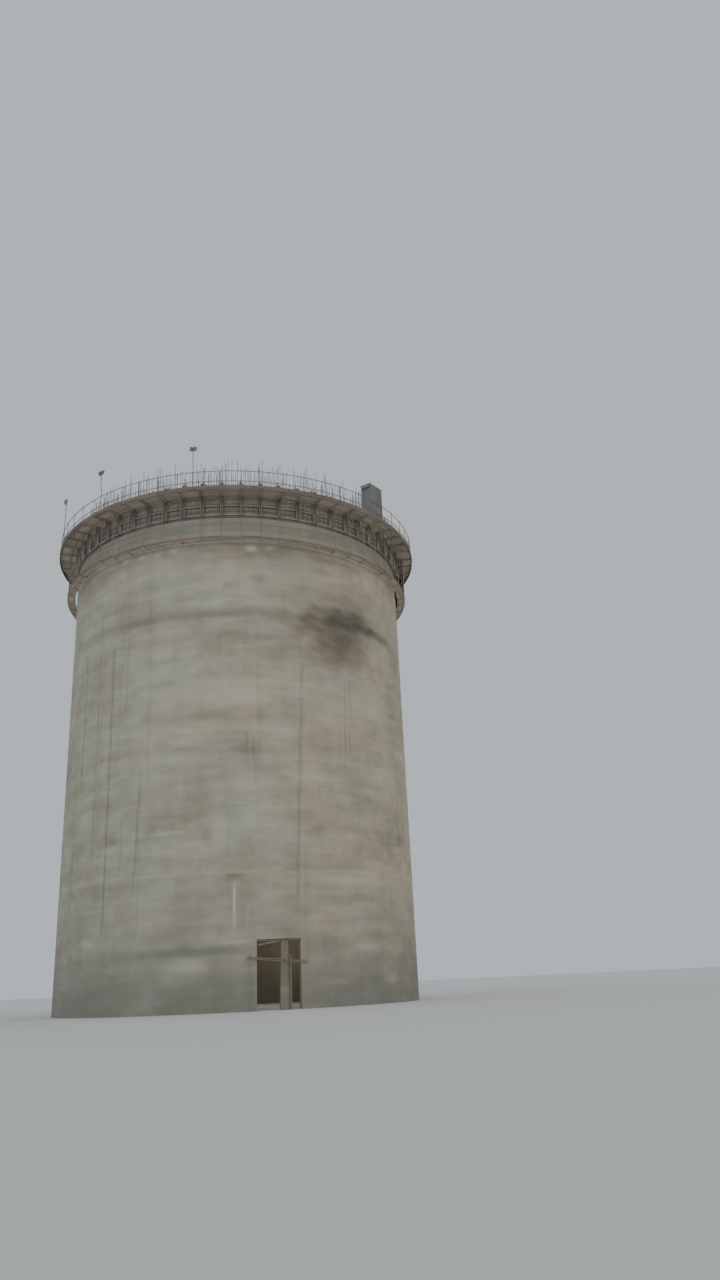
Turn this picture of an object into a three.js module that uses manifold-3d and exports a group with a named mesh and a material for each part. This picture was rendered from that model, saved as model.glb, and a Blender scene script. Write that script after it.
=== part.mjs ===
// A round concrete silo during slip forming: the shell so far, and the rig that climbs on its top edge.
// Millimetres, +Z up. The origin is the centre of the shell on the ground, and the doorway faces -Y.
import * as THREE from 'three';
import { mergeVertices } from 'three/addons/utils/BufferGeometryUtils.js';
import Module from 'manifold-3d';

const wasm = await Module();
wasm.setup();

// Shell
const WALL_OUTER_R = 13000;
const WALL_THICKNESS = 380;
const WALL_INNER_R = WALL_OUTER_R - WALL_THICKNESS;
const WALL_TOP_Z = 33900;

// The shell and the rig follow one 60-sided outline, with a lifting frame at the middle of each side.
const SIDES = 60;
const SIDE_DEG = 360 / SIDES;
const FIRST_YOKE_DEG = 1.7;

// Clearance where separate round pieces lie against each other, and between the lengths of the rig's rings
const SEAT_GAP = 0.3;
const END_GAP_DEG = THREE.MathUtils.radToDeg(SEAT_GAP / WALL_INNER_R);

// Lengths that the rig's rings come in, by their first and last lifting frame
const HALVES = [ringLength('front', -15, 14), ringLength('back', 15, 44)];
const QUARTERS = [
  ringLength('front', -7, 7),
  ringLength('right', 8, 22),
  ringLength('back', 23, 37),
  ringLength('left', 38, 52),
];

// Doorway at the foot of the shell
const DOOR_WIDTH = 2760;
const DOOR_HEAD_Z = 4090;
const DOOR_HALF_DEG = THREE.MathUtils.radToDeg(Math.asin(DOOR_WIDTH / 2 / WALL_OUTER_R));
const WALL_PANEL_DEG = (360 - 2 * DOOR_HALF_DEG) / 8;

// Forms that hold the fresh concrete, one on each face of the wall
const FORM_BOTTOM_Z = 32860;
const FORM_TOP_Z = 34400;
const FORM_THICKNESS = 60;
const WALER_DEPTH = 150;
const WALER_BOTTOM_Z = 33700;
const WALER_TOP_Z = 33900;

// Lifting frames: two legs against the ring beams, and a crossbeam with its jack
const YOKE_WIDTH = 180;
const YOKE_FOOT_Z = 32950;
const LEG_DEPTH = 140;
const LEG_LAP = 60;
const OUTER_LEG_BACK_R = WALL_OUTER_R + FORM_THICKNESS + WALER_DEPTH + LEG_DEPTH;
const INNER_LEG_BACK_R = WALL_INNER_R - FORM_THICKNESS - WALER_DEPTH - LEG_DEPTH;
const CROSSBEAM_BOTTOM_Z = 35300;
const CROSSBEAM_DEPTH = 200;
const JACK_HEIGHT = 400;
const JACK_WIDTH = 260;
const ROD_RADIUS = 24;
const ROD_TOP_Z = 37150;

// Decks
const DECK_TOP_Z = 34550;
const PLANK_THICKNESS = 50;
const JOIST_DEPTH = 140;
const JOIST_BOTTOM_Z = DECK_TOP_Z - PLANK_THICKNESS - JOIST_DEPTH;
const JOIST_LAP = 20;
const DECK_WIDTH = 1600;
const DECK_OUTER_EDGE_R = WALL_OUTER_R + DECK_WIDTH;
const DECK_INNER_EDGE_R = WALL_INNER_R - DECK_WIDTH;
const FASCIA_HEIGHT = 260;
const FASCIA_THICKNESS = 60;

// Guard rails
const RAIL_SIZE = 60;
const RAIL_SETBACK = 80;
const RAIL_HEIGHT = 1270;
const POST_SIZE = 44;
const POST_LAP = 30;

// Hanging scaffolds under the decks
const WALKWAY_TOP_Z = 30980;
const WALKWAY_GAP = 170;
const WALKWAY_WIDTH = 600;
const HANGER_SETBACK = 20;
const HANGER_RAIL_HEIGHT = 1050;
const OUTER_HANGER_R = WALL_OUTER_R + WALKWAY_GAP + WALKWAY_WIDTH - HANGER_SETBACK - POST_SIZE / 2;
const INNER_HANGER_R = WALL_INNER_R - WALKWAY_GAP - WALKWAY_WIDTH + HANGER_SETBACK + POST_SIZE / 2;

// Upright boards that close the outer side of the hanging scaffold over one stretch
const BOARDING_START_DEG = 66;
const BOARDING_END_DEG = 90;
const BOARDING_THICKNESS = 30;
const BOARDING_TOP_Z = 34330;

// Floodlight masts on the outer deck: direction and height of each
const MASTS = [
  { deg: -86, top: 39100 },
  { deg: -56, top: 38120 },
  { deg: -24, top: 38020 },
];
const MAST_R = 14390;
const MAST_RADIUS = 30;

// Cabin on the outer deck
const CABIN_DEG = 36.1;
const CABIN_WIDTH = 1400;
const CABIN_DEPTH = 940;
const CABIN_MIDDLE_R = 13900;
const CABIN_HEIGHT = 2800;
const CABIN_ROOF_THICKNESS = 60;
const CABIN_ROOF_OVERHANG = 90;

const concrete = new THREE.MeshStandardMaterial({ color: 0x8f8a7c, roughness: 0.92, metalness: 0 });
const formSteel = new THREE.MeshStandardMaterial({ color: 0x5b554c, roughness: 0.6, metalness: 0.4 });
const frameSteel = new THREE.MeshStandardMaterial({ color: 0x4a4742, roughness: 0.6, metalness: 0.4 });
const deckTimber = new THREE.MeshStandardMaterial({ color: 0x7a5f47, roughness: 0.9, metalness: 0 });
const railSteel = new THREE.MeshStandardMaterial({ color: 0x7d8285, roughness: 0.5, metalness: 0.6 });
const cabinSheet = new THREE.MeshStandardMaterial({ color: 0x55585a, roughness: 0.7, metalness: 0.2 });
const propTimber = new THREE.MeshStandardMaterial({ color: 0xa08c5a, roughness: 0.9, metalness: 0 });

const silo = new THREE.Group();

function ringLength(name, first, last) {
  const start = FIRST_YOKE_DEG + SIDE_DEG * (first - 0.5) + END_GAP_DEG;
  const end = FIRST_YOKE_DEG + SIDE_DEG * (last + 0.5) - END_GAP_DEG;
  return { name, first, last, start, end };
}

function addPiece(name, geometry, material) {
  const mesh = new THREE.Mesh(geometry, material);
  mesh.name = name;
  silo.add(mesh);
}

function toSolid(geometry) {
  const bare = geometry.clone();
  bare.deleteAttribute('normal');
  bare.deleteAttribute('uv');
  const merged = mergeVertices(bare, 0.001);
  return new wasm.Manifold(new wasm.Mesh({
    numProp: 3,
    vertProperties: new Float32Array(merged.attributes.position.array),
    triVerts: new Uint32Array(merged.index.array),
  }));
}

function toGeometry(solid) {
  const mesh = solid.getMesh();
  const geometry = new THREE.BufferGeometry();
  geometry.setAttribute('position', new THREE.BufferAttribute(mesh.vertProperties, 3));
  geometry.setIndex(new THREE.BufferAttribute(mesh.triVerts, 1));
  geometry.computeVertexNormals();
  return geometry;
}

// One body from pieces that lap into each other
function join(geometries) {
  let joined = toSolid(geometries[0]);
  for (const geometry of geometries.slice(1)) {
    joined = joined.add(toSolid(geometry));
  }
  return toGeometry(joined);
}

function cutFrom(geometry, cutters) {
  let rest = toSolid(geometry);
  for (const cutter of cutters) {
    rest = rest.subtract(toSolid(cutter));
  }
  return toGeometry(rest);
}

// A point of the many-sided outline. Directions count from the doorway (-Y) towards +X, and radius is
// the distance to the middle of a side.
function outlinePoint(radius, deg) {
  const fromCorner = THREE.MathUtils.euclideanModulo(deg - FIRST_YOKE_DEG + SIDE_DEG / 2, SIDE_DEG);
  const fromMiddle = THREE.MathUtils.degToRad(fromCorner - SIDE_DEG / 2);
  const distance = radius / Math.cos(fromMiddle);
  const angle = THREE.MathUtils.degToRad(deg);
  return new THREE.Vector2(distance * Math.sin(angle), -distance * Math.cos(angle));
}

// The two ends of a stretch and the corners of the outline between them
function stretchDirections(start, end) {
  const directions = [start];
  const cornerShift = FIRST_YOKE_DEG + SIDE_DEG / 2;
  let corner = Math.ceil((start - cornerShift) / SIDE_DEG) * SIDE_DEG + cornerShift;
  while (corner < end - 0.01) {
    if (corner > start + 0.01) {
      directions.push(corner);
    }
    corner += SIDE_DEG;
  }
  directions.push(end);
  return directions;
}

function ringStretch(innerR, outerR, bottom, top, start, end) {
  const directions = stretchDirections(start, end);
  const outer = directions.map((deg) => outlinePoint(outerR, deg));
  const inner = directions.map((deg) => outlinePoint(innerR, deg)).reverse();
  const shape = new THREE.Shape([...outer, ...inner]);
  const geometry = new THREE.ExtrudeGeometry(shape, { depth: top - bottom, bevelEnabled: false });
  return geometry.translate(0, 0, bottom);
}

// Turns a piece that was made on the +X side of the axis to its direction
function turnTo(geometry, deg) {
  return geometry.rotateZ(THREE.MathUtils.degToRad(deg - 90));
}

function box(xMin, xMax, yMin, yMax, zMin, zMax) {
  const geometry = new THREE.BoxGeometry(xMax - xMin, yMax - yMin, zMax - zMin);
  return geometry.translate((xMin + xMax) / 2, (yMin + yMax) / 2, (zMin + zMax) / 2);
}

// An outline in the X-Z plane, given its thickness along Y about yMiddle
function plate(points, thickness, yMiddle = 0) {
  const shape = new THREE.Shape(points.map(([x, z]) => new THREE.Vector2(x, z)));
  const geometry = new THREE.ExtrudeGeometry(shape, { depth: thickness, bevelEnabled: false });
  return geometry.rotateX(Math.PI / 2).translate(0, yMiddle + thickness / 2, 0);
}

function post(radius, bottom, top, x, y, sides = 6) {
  const geometry = new THREE.CylinderGeometry(radius, radius, top - bottom, sides);
  return geometry.rotateX(Math.PI / 2).translate(x, y, (bottom + top) / 2);
}

// Directions of the lifting frames along one length, or of every second one
function yokeDirections({ first, last }, step = 1) {
  const directions = [];
  for (let i = first; i <= last; i += step) {
    directions.push(FIRST_YOKE_DEG + i * SIDE_DEG);
  }
  return directions;
}

function uprights(directions, middleR, bottom, top) {
  const half = POST_SIZE / 2;
  return directions.map((deg) => turnTo(box(middleR - half, middleR + half, -half, half, bottom, top), deg));
}

// Joints between the wall panels, from the doorway's right jamb round to its left one. The panel opposite the
// doorway is as short as the strip over it.
function wallJoints() {
  const rightSide = [0, 1, 2, 3].map((i) => DOOR_HALF_DEG + i * WALL_PANEL_DEG);
  rightSide.push(180 - DOOR_HALF_DEG);
  const leftSide = rightSide.map((deg) => 360 - deg).reverse();
  return [...rightSide, ...leftSide];
}

function addWall() {
  const joints = wallJoints();
  for (let i = 1; i < joints.length; i += 1) {
    const panel = ringStretch(WALL_INNER_R, WALL_OUTER_R, 0, WALL_TOP_Z, joints[i - 1], joints[i]);
    addPiece(`wall_panel_${i}`, panel, concrete);
  }
  const overDoor = ringStretch(
    WALL_INNER_R, WALL_OUTER_R, DOOR_HEAD_Z, WALL_TOP_Z, -DOOR_HALF_DEG, DOOR_HALF_DEG,
  );
  addPiece('wall_over_door', overDoor, concrete);
}

function addForms() {
  const outerFace = WALL_OUTER_R + SEAT_GAP;
  const outerBack = WALL_OUTER_R + FORM_THICKNESS;
  const innerFace = WALL_INNER_R - SEAT_GAP;
  const innerBack = WALL_INNER_R - FORM_THICKNESS;
  for (const { name, start, end } of HALVES) {
    const outer = ringStretch(outerFace, outerBack, FORM_BOTTOM_Z, FORM_TOP_Z, start, end);
    const inner = ringStretch(innerBack, innerFace, FORM_BOTTOM_Z, FORM_TOP_Z, start, end);
    addPiece(`outer_form_${name}`, outer, formSteel);
    addPiece(`inner_form_${name}`, inner, formSteel);
  }
}

function yokeOutline() {
  const outerLegIn = OUTER_LEG_BACK_R - LEG_DEPTH - LEG_LAP;
  const innerLegIn = INNER_LEG_BACK_R + LEG_DEPTH + LEG_LAP;
  const beamTop = CROSSBEAM_BOTTOM_Z + CROSSBEAM_DEPTH;
  const wallMiddle = WALL_OUTER_R - WALL_THICKNESS / 2;
  return [
    [OUTER_LEG_BACK_R, YOKE_FOOT_Z],
    [OUTER_LEG_BACK_R, beamTop],
    [wallMiddle + JACK_WIDTH / 2, beamTop],
    [wallMiddle + JACK_WIDTH / 2, beamTop + JACK_HEIGHT],
    [wallMiddle - JACK_WIDTH / 2, beamTop + JACK_HEIGHT],
    [wallMiddle - JACK_WIDTH / 2, beamTop],
    [INNER_LEG_BACK_R, beamTop],
    [INNER_LEG_BACK_R, YOKE_FOOT_Z],
    [innerLegIn, YOKE_FOOT_Z],
    [innerLegIn, CROSSBEAM_BOTTOM_Z],
    [outerLegIn, CROSSBEAM_BOTTOM_Z],
    [outerLegIn, YOKE_FOOT_Z],
  ];
}

function yoke(deg) {
  const wallMiddle = WALL_OUTER_R - WALL_THICKNESS / 2;
  const jackMiddleZ = CROSSBEAM_BOTTOM_Z + CROSSBEAM_DEPTH + JACK_HEIGHT / 2;
  return [
    turnTo(plate(yokeOutline(), YOKE_WIDTH), deg),
    turnTo(post(ROD_RADIUS, jackMiddleZ, ROD_TOP_Z, wallMiddle, 0, 4), deg),
  ];
}

// The ring beams that the legs hold against the two forms
function walers({ start, end }) {
  const outerFace = WALL_OUTER_R + FORM_THICKNESS + SEAT_GAP;
  const outerBack = WALL_OUTER_R + FORM_THICKNESS + WALER_DEPTH;
  const innerFace = WALL_INNER_R - FORM_THICKNESS - SEAT_GAP;
  const innerBack = WALL_INNER_R - FORM_THICKNESS - WALER_DEPTH;
  return [
    ringStretch(outerFace, outerBack, WALER_BOTTOM_Z, WALER_TOP_Z, start, end),
    ringStretch(innerBack, innerFace, WALER_BOTTOM_Z, WALER_TOP_Z, start, end),
  ];
}

function addYokes() {
  for (const quarter of QUARTERS) {
    const frames = yokeDirections(quarter).flatMap(yoke);
    addPiece(`yokes_${quarter.name}`, join([...frames, ...walers(quarter)]), frameSteel);
  }
}

// Joists from the backs of the frame legs to the free edge, planks on them that also fill the space between
// the legs as far as the form, and the deep board along that edge
function deck(half, formBackR, legBackR, edgeR) {
  const { start, end } = half;
  const outwards = Math.sign(edgeR - legBackR);
  const legEnd = legBackR + outwards * SEAT_GAP;
  const legSpace = YOKE_WIDTH / 2 + SEAT_GAP;
  const fasciaBack = edgeR - outwards * FASCIA_THICKNESS;
  const ring = (rA, rB, bottom) => (
    ringStretch(Math.min(rA, rB), Math.max(rA, rB), bottom, DECK_TOP_Z, start, end)
  );
  const planks = ring(formBackR, edgeR, DECK_TOP_Z - PLANK_THICKNESS);
  const fascia = ring(fasciaBack, edgeR, DECK_TOP_Z - FASCIA_HEIGHT);
  const joistEnd = fasciaBack + outwards * JOIST_LAP;
  const joistTop = DECK_TOP_Z - PLANK_THICKNESS + JOIST_LAP;
  const joists = yokeDirections(half).map((deg) => turnTo(box(
    Math.min(legEnd, joistEnd), Math.max(legEnd, joistEnd),
    -YOKE_WIDTH / 2, YOKE_WIDTH / 2,
    JOIST_BOTTOM_Z, joistTop,
  ), deg));
  const notches = yokeDirections(half).map((deg) => turnTo(box(
    Math.min(formBackR - outwards * PLANK_THICKNESS, legEnd),
    Math.max(formBackR - outwards * PLANK_THICKNESS, legEnd),
    -legSpace, legSpace,
    JOIST_BOTTOM_Z, DECK_TOP_Z + PLANK_THICKNESS,
  ), deg));
  return cutFrom(join([planks, fascia, ...joists]), notches);
}

function addDecks() {
  const outerFormBackR = WALL_OUTER_R + FORM_THICKNESS;
  const innerFormBackR = WALL_INNER_R - FORM_THICKNESS;
  for (const half of HALVES) {
    const outer = deck(half, outerFormBackR, OUTER_LEG_BACK_R, DECK_OUTER_EDGE_R);
    const inner = deck(half, innerFormBackR, INNER_LEG_BACK_R, DECK_INNER_EDGE_R);
    addPiece(`outer_deck_${half.name}`, outer, deckTimber);
    addPiece(`inner_deck_${half.name}`, inner, deckTimber);
  }
}

function railRing({ start, end }, middleR, top) {
  const innerR = middleR - RAIL_SIZE / 2;
  return ringStretch(innerR, innerR + RAIL_SIZE, top - RAIL_SIZE, top, start, end);
}

function guardRail(half, middleR, step) {
  const railTop = DECK_TOP_Z + RAIL_HEIGHT;
  const postTop = railTop - RAIL_SIZE + POST_LAP;
  return join([
    railRing(half, middleR, railTop),
    ...uprights(yokeDirections(half, step), middleR, DECK_TOP_Z, postTop),
  ]);
}

function addGuardRails() {
  for (const half of HALVES) {
    const outer = guardRail(half, DECK_OUTER_EDGE_R - RAIL_SETBACK - RAIL_SIZE / 2, 1);
    const inner = guardRail(half, DECK_INNER_EDGE_R + RAIL_SETBACK + RAIL_SIZE / 2, 2);
    addPiece(`outer_guard_rail_${half.name}`, outer, railSteel);
    addPiece(`inner_guard_rail_${half.name}`, inner, railSteel);
  }
}

function walkway({ start, end }, innerR) {
  const bottom = WALKWAY_TOP_Z - PLANK_THICKNESS;
  return ringStretch(innerR, innerR + WALKWAY_WIDTH, bottom, WALKWAY_TOP_Z, start, end);
}

// Hangers from the deck joists to the walkway's planks, with the rail that ties them together
function hangers(length, middleR, step) {
  return join([
    railRing(length, middleR, WALKWAY_TOP_Z + HANGER_RAIL_HEIGHT),
    ...uprights(yokeDirections(length, step), middleR, WALKWAY_TOP_Z, JOIST_BOTTOM_Z),
  ]);
}

function addHangingScaffolds() {
  for (const half of HALVES) {
    const outer = walkway(half, WALL_OUTER_R + WALKWAY_GAP);
    const inner = walkway(half, WALL_INNER_R - WALKWAY_GAP - WALKWAY_WIDTH);
    addPiece(`outer_walkway_${half.name}`, outer, deckTimber);
    addPiece(`inner_walkway_${half.name}`, inner, deckTimber);
    addPiece(`inner_hangers_${half.name}`, hangers(half, INNER_HANGER_R, 2), railSteel);
  }
  for (const quarter of QUARTERS) {
    addPiece(`outer_hangers_${quarter.name}`, hangers(quarter, OUTER_HANGER_R, 1), railSteel);
  }
}

function addScaffoldBoarding() {
  const innerR = OUTER_HANGER_R + RAIL_SIZE / 2 + SEAT_GAP;
  const boarding = ringStretch(
    innerR, innerR + BOARDING_THICKNESS,
    WALKWAY_TOP_Z + SEAT_GAP, BOARDING_TOP_Z,
    BOARDING_START_DEG, BOARDING_END_DEG,
  );
  addPiece('scaffold_boarding', boarding, deckTimber);
}

function addMasts() {
  MASTS.forEach(({ deg, top }, i) => {
    const basePlate = box(MAST_R - 130, MAST_R + 70, -120, 120, DECK_TOP_Z, DECK_TOP_Z + 20);
    const mast = post(MAST_RADIUS, DECK_TOP_Z + 10, top - 150, MAST_R, 0);
    const head = box(MAST_R - 150, MAST_R + 150, -260, 260, top - 420, top);
    addPiece(`floodlight_mast_${i + 1}`, turnTo(join([basePlate, mast, head]), deg), railSteel);
  });
}

function addCabin() {
  const half = CABIN_WIDTH / 2;
  const front = -CABIN_MIDDLE_R - CABIN_DEPTH / 2;
  const back = -CABIN_MIDDLE_R + CABIN_DEPTH / 2;
  const wallTop = DECK_TOP_Z + CABIN_HEIGHT;
  const roofEdge = half + CABIN_ROOF_OVERHANG;
  const roofFoot = wallTop + SEAT_GAP;
  const turn = (geometry) => geometry.rotateZ(THREE.MathUtils.degToRad(CABIN_DEG));
  const body = box(-half, half, front, back, DECK_TOP_Z, wallTop);
  const roof = box(-roofEdge, roofEdge, front, back, roofFoot, roofFoot + CABIN_ROOF_THICKNESS);
  addPiece('cabin_body', turn(body), cabinSheet);
  addPiece('cabin_roof', turn(roof), cabinSheet);
}

function addDoorwayPieces() {
  const wallFaceY = -WALL_OUTER_R;
  const headTimberZ = DOOR_HEAD_Z - 110;
  const jamb = DOOR_WIDTH / 2 - 45;
  const headBoards = [
    [-jamb, DOOR_HEAD_Z - SEAT_GAP],
    [-jamb, headTimberZ - 230],
    [80, headTimberZ],
    [jamb, headTimberZ],
    [jamb, DOOR_HEAD_Z - SEAT_GAP],
  ];
  addPiece('doorway_head_boards', plate(headBoards, 60, wallFaceY + 160), propTimber);
  const pierOutline = [
    [40, 0],
    [700, 0],
    [560, headTimberZ],
    [120, headTimberZ],
  ];
  const pierDepth = 300;
  const pierFrontY = wallFaceY + 30;
  addPiece('doorway_pier', plate(pierOutline, pierDepth, pierFrontY + pierDepth / 2), concrete);
  const barBackY = pierFrontY - SEAT_GAP;
  const barDepth = 50;
  const barFrontY = barBackY - barDepth;
  const barOutline = [
    [-2000, 2950],
    [1800, 2600],
    [1800, 2770],
    [-2000, 3120],
  ];
  addPiece('doorway_crossbar', plate(barOutline, barDepth, barBackY - barDepth / 2), railSteel);
  const standardRadius = 30;
  const standardY = barFrontY - standardRadius - SEAT_GAP;
  addPiece('doorway_standard', post(standardRadius, 0, 3300, -1850, standardY), railSteel);
  const propFrontY = barFrontY - 60;
  addPiece('doorway_prop', box(640, 740, propFrontY, barFrontY - SEAT_GAP, 0, 3120), propTimber);
}

addWall();
addForms();
addYokes();
addDecks();
addGuardRails();
addHangingScaffolds();
addScaffoldBoarding();
addMasts();
addCabin();
addDoorwayPieces();

export default silo;
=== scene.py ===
"""A round concrete silo during slip forming: its shell with a doorway, and the rig that climbs on its top.

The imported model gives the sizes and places. Every operator makes one piece, or one group of like pieces,
round the silo's axis, in metres, with Z up and the doorway towards -Y.
"""

import math
import random

import bmesh
import bpy
import numpy as np
from bpy.props import FloatProperty, FloatVectorProperty, IntProperty, PointerProperty
from bpy.types import Operator, Panel, PropertyGroup
from mathutils import Matrix, Vector


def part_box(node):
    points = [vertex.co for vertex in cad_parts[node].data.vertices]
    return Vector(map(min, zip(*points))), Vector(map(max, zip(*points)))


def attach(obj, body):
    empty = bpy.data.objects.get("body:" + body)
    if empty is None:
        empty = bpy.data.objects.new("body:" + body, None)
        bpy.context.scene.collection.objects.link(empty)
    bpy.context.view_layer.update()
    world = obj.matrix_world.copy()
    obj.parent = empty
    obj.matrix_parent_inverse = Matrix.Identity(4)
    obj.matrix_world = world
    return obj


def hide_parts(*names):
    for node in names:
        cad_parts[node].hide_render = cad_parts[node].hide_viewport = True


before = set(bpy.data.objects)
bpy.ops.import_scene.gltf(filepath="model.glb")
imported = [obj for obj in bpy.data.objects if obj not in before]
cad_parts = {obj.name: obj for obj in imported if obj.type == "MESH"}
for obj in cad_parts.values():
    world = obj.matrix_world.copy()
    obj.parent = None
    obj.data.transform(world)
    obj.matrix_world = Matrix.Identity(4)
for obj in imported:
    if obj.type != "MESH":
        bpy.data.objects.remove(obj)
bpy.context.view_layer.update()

bl_info = {
    "name": "Slip-formed concrete silo",
    "version": (1, 0, 0),
    "blender": (4, 5, 0),
    "location": "3D View > Sidebar > Silo",
    "description": "Makes the visible pieces of a concrete silo under construction around its fixed frame",
    "category": "Object",
}

# First and last lifting frame of each length that the rig's rings come in
HALVES = {"front": (-15, 14), "back": (15, 44)}
QUARTERS = {"front": (-7, 7), "right": (8, 22), "back": (23, 37), "left": (38, 52)}

# Rail posts and hangers stand at every frame outside the wall, and at every second one inside it
POST_STRIDE = {"outer": 1, "inner": 2}

# Planks are this thick, and their middle lies this far under a floor's top. Scaffold tubes have this radius.
PLANK = 0.045
PLANK_DROP = 0.0235
TUBE = 0.024

# Edges that turn by more than this stay sharp
SHARP_EDGE = math.radians(35.0)

# Turns a board's length upright
ON_END = Matrix.Rotation(math.radians(90.0), 4, "Y")


def foot_of(node):
    """Height of a CAD node's lowest point."""
    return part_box(node)[0].z


def top_of(node):
    """Height of a CAD node's highest point."""
    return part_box(node)[1].z


def srgb(hex_value):
    """An sRGB hex colour as the linear colour that a shader takes."""
    channels = [int(hex_value[i:i + 2], 16) / 255.0 for i in (1, 3, 5)]
    return tuple(c / 12.92 if c <= 0.04045 else ((c + 0.055) / 1.055) ** 2.4 for c in channels)


def size(name, description, default):
    """A length in metres that a user can change."""
    return FloatProperty(name=name, description=description, default=default, min=0.0, unit="LENGTH")


def colour(name, description, hex_value):
    """A colour that a user can change."""
    return FloatVectorProperty(
        name=name, description=description, default=srgb(hex_value), size=3, min=0.0, max=1.0,
        subtype="COLOR",
    )


class SiloSizes(PropertyGroup):
    """Sizes of the shell and the rig."""

    wall_radius: size("Wall radius", "Outer radius of the shell", 13.0)
    wall_thickness: size("Wall thickness", "Thickness of the shell", 0.38)
    wall_top: size("Wall top", "Height of the concrete so far", top_of("wall_over_door"))
    door_width: size("Doorway width", "Width of the doorway at the foot of the shell", 2.76)
    door_head: size("Doorway head", "Height of the doorway", foot_of("wall_over_door"))
    form_bottom: size("Form bottom", "Lower edge of the forms", foot_of("outer_form_front"))
    form_top: size("Form top", "Upper edge of the forms", top_of("outer_form_front"))
    form_depth: size("Form depth", "Depth of a form with its ribs", 0.06)
    waler_depth: size("Ring beam depth", "Depth of the ring beams behind the forms", 0.15)
    leg_depth: size("Leg depth", "Depth of a lifting frame's leg behind the ring beam", 0.14)
    frame_foot: size("Frame foot", "Lower end of the lifting frames' legs", foot_of("yokes_front"))
    frame_top: size("Crossbeam top", "Top of the lifting frames' crossbeams", 35.5)
    rod_top: size("Jack rod top", "Top of the jack rods", top_of("yokes_front"))
    deck_top: size("Deck top", "Height of the decks", top_of("outer_deck_front"))
    deck_width: size("Deck width", "From the wall's face to the deck's free edge", 1.6)
    rail_top: size("Guard rail top", "Top of the guard rails", top_of("outer_guard_rail_front"))
    walkway_top: size("Walkway top", "Height of the hanging scaffolds' planks", top_of("outer_walkway_front"))
    walkway_gap: size("Walkway gap", "From the wall's face to the hanging scaffold", 0.17)
    walkway_width: size("Walkway width", "Width of the hanging scaffold's planks", 0.6)
    bar_spacing: size("Bar spacing", "Distance between upright reinforcing bars", 0.15)
    first_frame: FloatProperty(
        name="First frame", description="Direction of a lifting frame, from the doorway",
        default=math.radians(1.7), unit="ROTATION",
    )
    frame_count: IntProperty(name="Frames", description="Lifting frames round the shell", default=60, min=12)


class SiloFinish(PropertyGroup):
    """Colours of the finishes."""

    concrete_light: colour("Concrete, light", "Dry slip-formed concrete", "#bcae96")
    concrete_cool: colour("Concrete, cool", "The same where it dries slower", "#adada1")
    concrete_dark: colour("Concrete, dark", "Darker lifts and rubbed bands", "#958d7a")
    # Also painted shade on the wall, such as the deck's shadow under the forms
    soot_and_shade: colour("Soot", "Soot and oil stains on the wall", "#5b5449")
    rust_wash: colour("Rust wash", "Brown wash from the bars", "#7d6757")
    # Also painted light on the wall under the walkway
    lime_and_light: colour("Lime", "Lime runs and dried laitance", "#cfcabb")
    # Also painted shadow of the deck on the wall just under the forms
    damp_and_shade: colour("Damp", "Damp or fresh concrete", "#7a7971")
    form_steel: colour("Form steel", "Form sheets, dull and dusted with cement", "#b4aba3")
    form_cement: colour("Form cement", "Dried cement on the form sheets", "#c2bab2")
    # Painted shade on the lower part of the form sheets, which the light under the deck reaches most
    form_lower_shade: colour("Form, scoured", "Shade of the form sheets below their splashed rim", "#bcb9b6")
    frame_steel: colour("Frame steel", "Dusty paint of the lifting frames", "#aaa299")
    frame_dust: colour("Frame dust", "Cement and rust on the lifting frames", "#b8b0a7")
    # Painted shade on the lifting frames' outer faces, which catch the most light
    frame_face_shade: colour("Frame, rubbed", "Shade of the frames' rubbed outer faces", "#a4a09d")
    tube: colour("Tube", "Zinc-coated scaffold tube", "#7f7f7b")
    rust: colour("Rust", "Rusty reinforcing bars", "#564639")
    rust_dark: colour("Rust, dark", "Mill scale between the rust", "#423c37")
    deck_timber: colour("Deck timber", "Planks dusted with cement", "#d1c4b6")
    deck_dark: colour("Deck timber, dark", "Their dark grain", "#a29585")
    tan_timber: colour("Tan timber", "Scaffold boarding", "#a89583")
    tan_dark: colour("Tan timber, dark", "Its dark grain", "#867463")
    brown_timber: colour("Brown timber", "Edge boards and the timbers over the doorway", "#84766a")
    brown_dark: colour("Brown timber, dark", "Their dark grain", "#685c51")
    prop_timber: colour("Prop timber", "Yellowish sawn timber", "#938966")
    prop_dark: colour("Prop timber, dark", "Its dark grain", "#6f6549")
    cabin_sheet: colour("Cabin sheet", "Grey painted sheet of the cabin", "#7a7977")
    cabin_worn: colour("Cabin sheet, worn", "Chalky places of that paint", "#868482")
    lamp_glass: colour("Lamp glass", "Glass over the grey reflectors of the floodlights", "#6d7679")
    floor: colour("Floor", "Plain pale studio floor", "#dcdad6")
    backdrop: colour("Backdrop", "Plain pale studio surround", "#bac2c7")


# Directions and places

def outward(deg):
    """Turns a piece made on the +X side to its direction, which counts from the doorway towards +X."""
    return Matrix.Rotation(math.radians(deg - 90.0), 4, "Z")


def wall_faces(sizes):
    """Radius of each face of the wall, and the sign of the way that leads off it."""
    return {"outer": (sizes.wall_radius, 1.0), "inner": (sizes.wall_radius - sizes.wall_thickness, -1.0)}


def frame_step(sizes):
    """Degrees from one lifting frame to the next."""
    return 360.0 / sizes.frame_count


def frame_deg(sizes, number):
    """Direction of a lifting frame, in degrees."""
    return math.degrees(sizes.first_frame) + number * 360.0 / sizes.frame_count


def frame_degs(sizes, frames, stride=1):
    """Directions of the lifting frames along one length of a ring, and of the next one past its end."""
    first, last = frames
    return [frame_deg(sizes, number) for number in range(first, last + 2, stride)]


def ring_limits(sizes, frames):
    """Directions of the two ends of a ring's length."""
    first, last = frames
    half_step = frame_step(sizes) / 2
    return frame_deg(sizes, first) - half_step, frame_deg(sizes, last) + half_step


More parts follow.
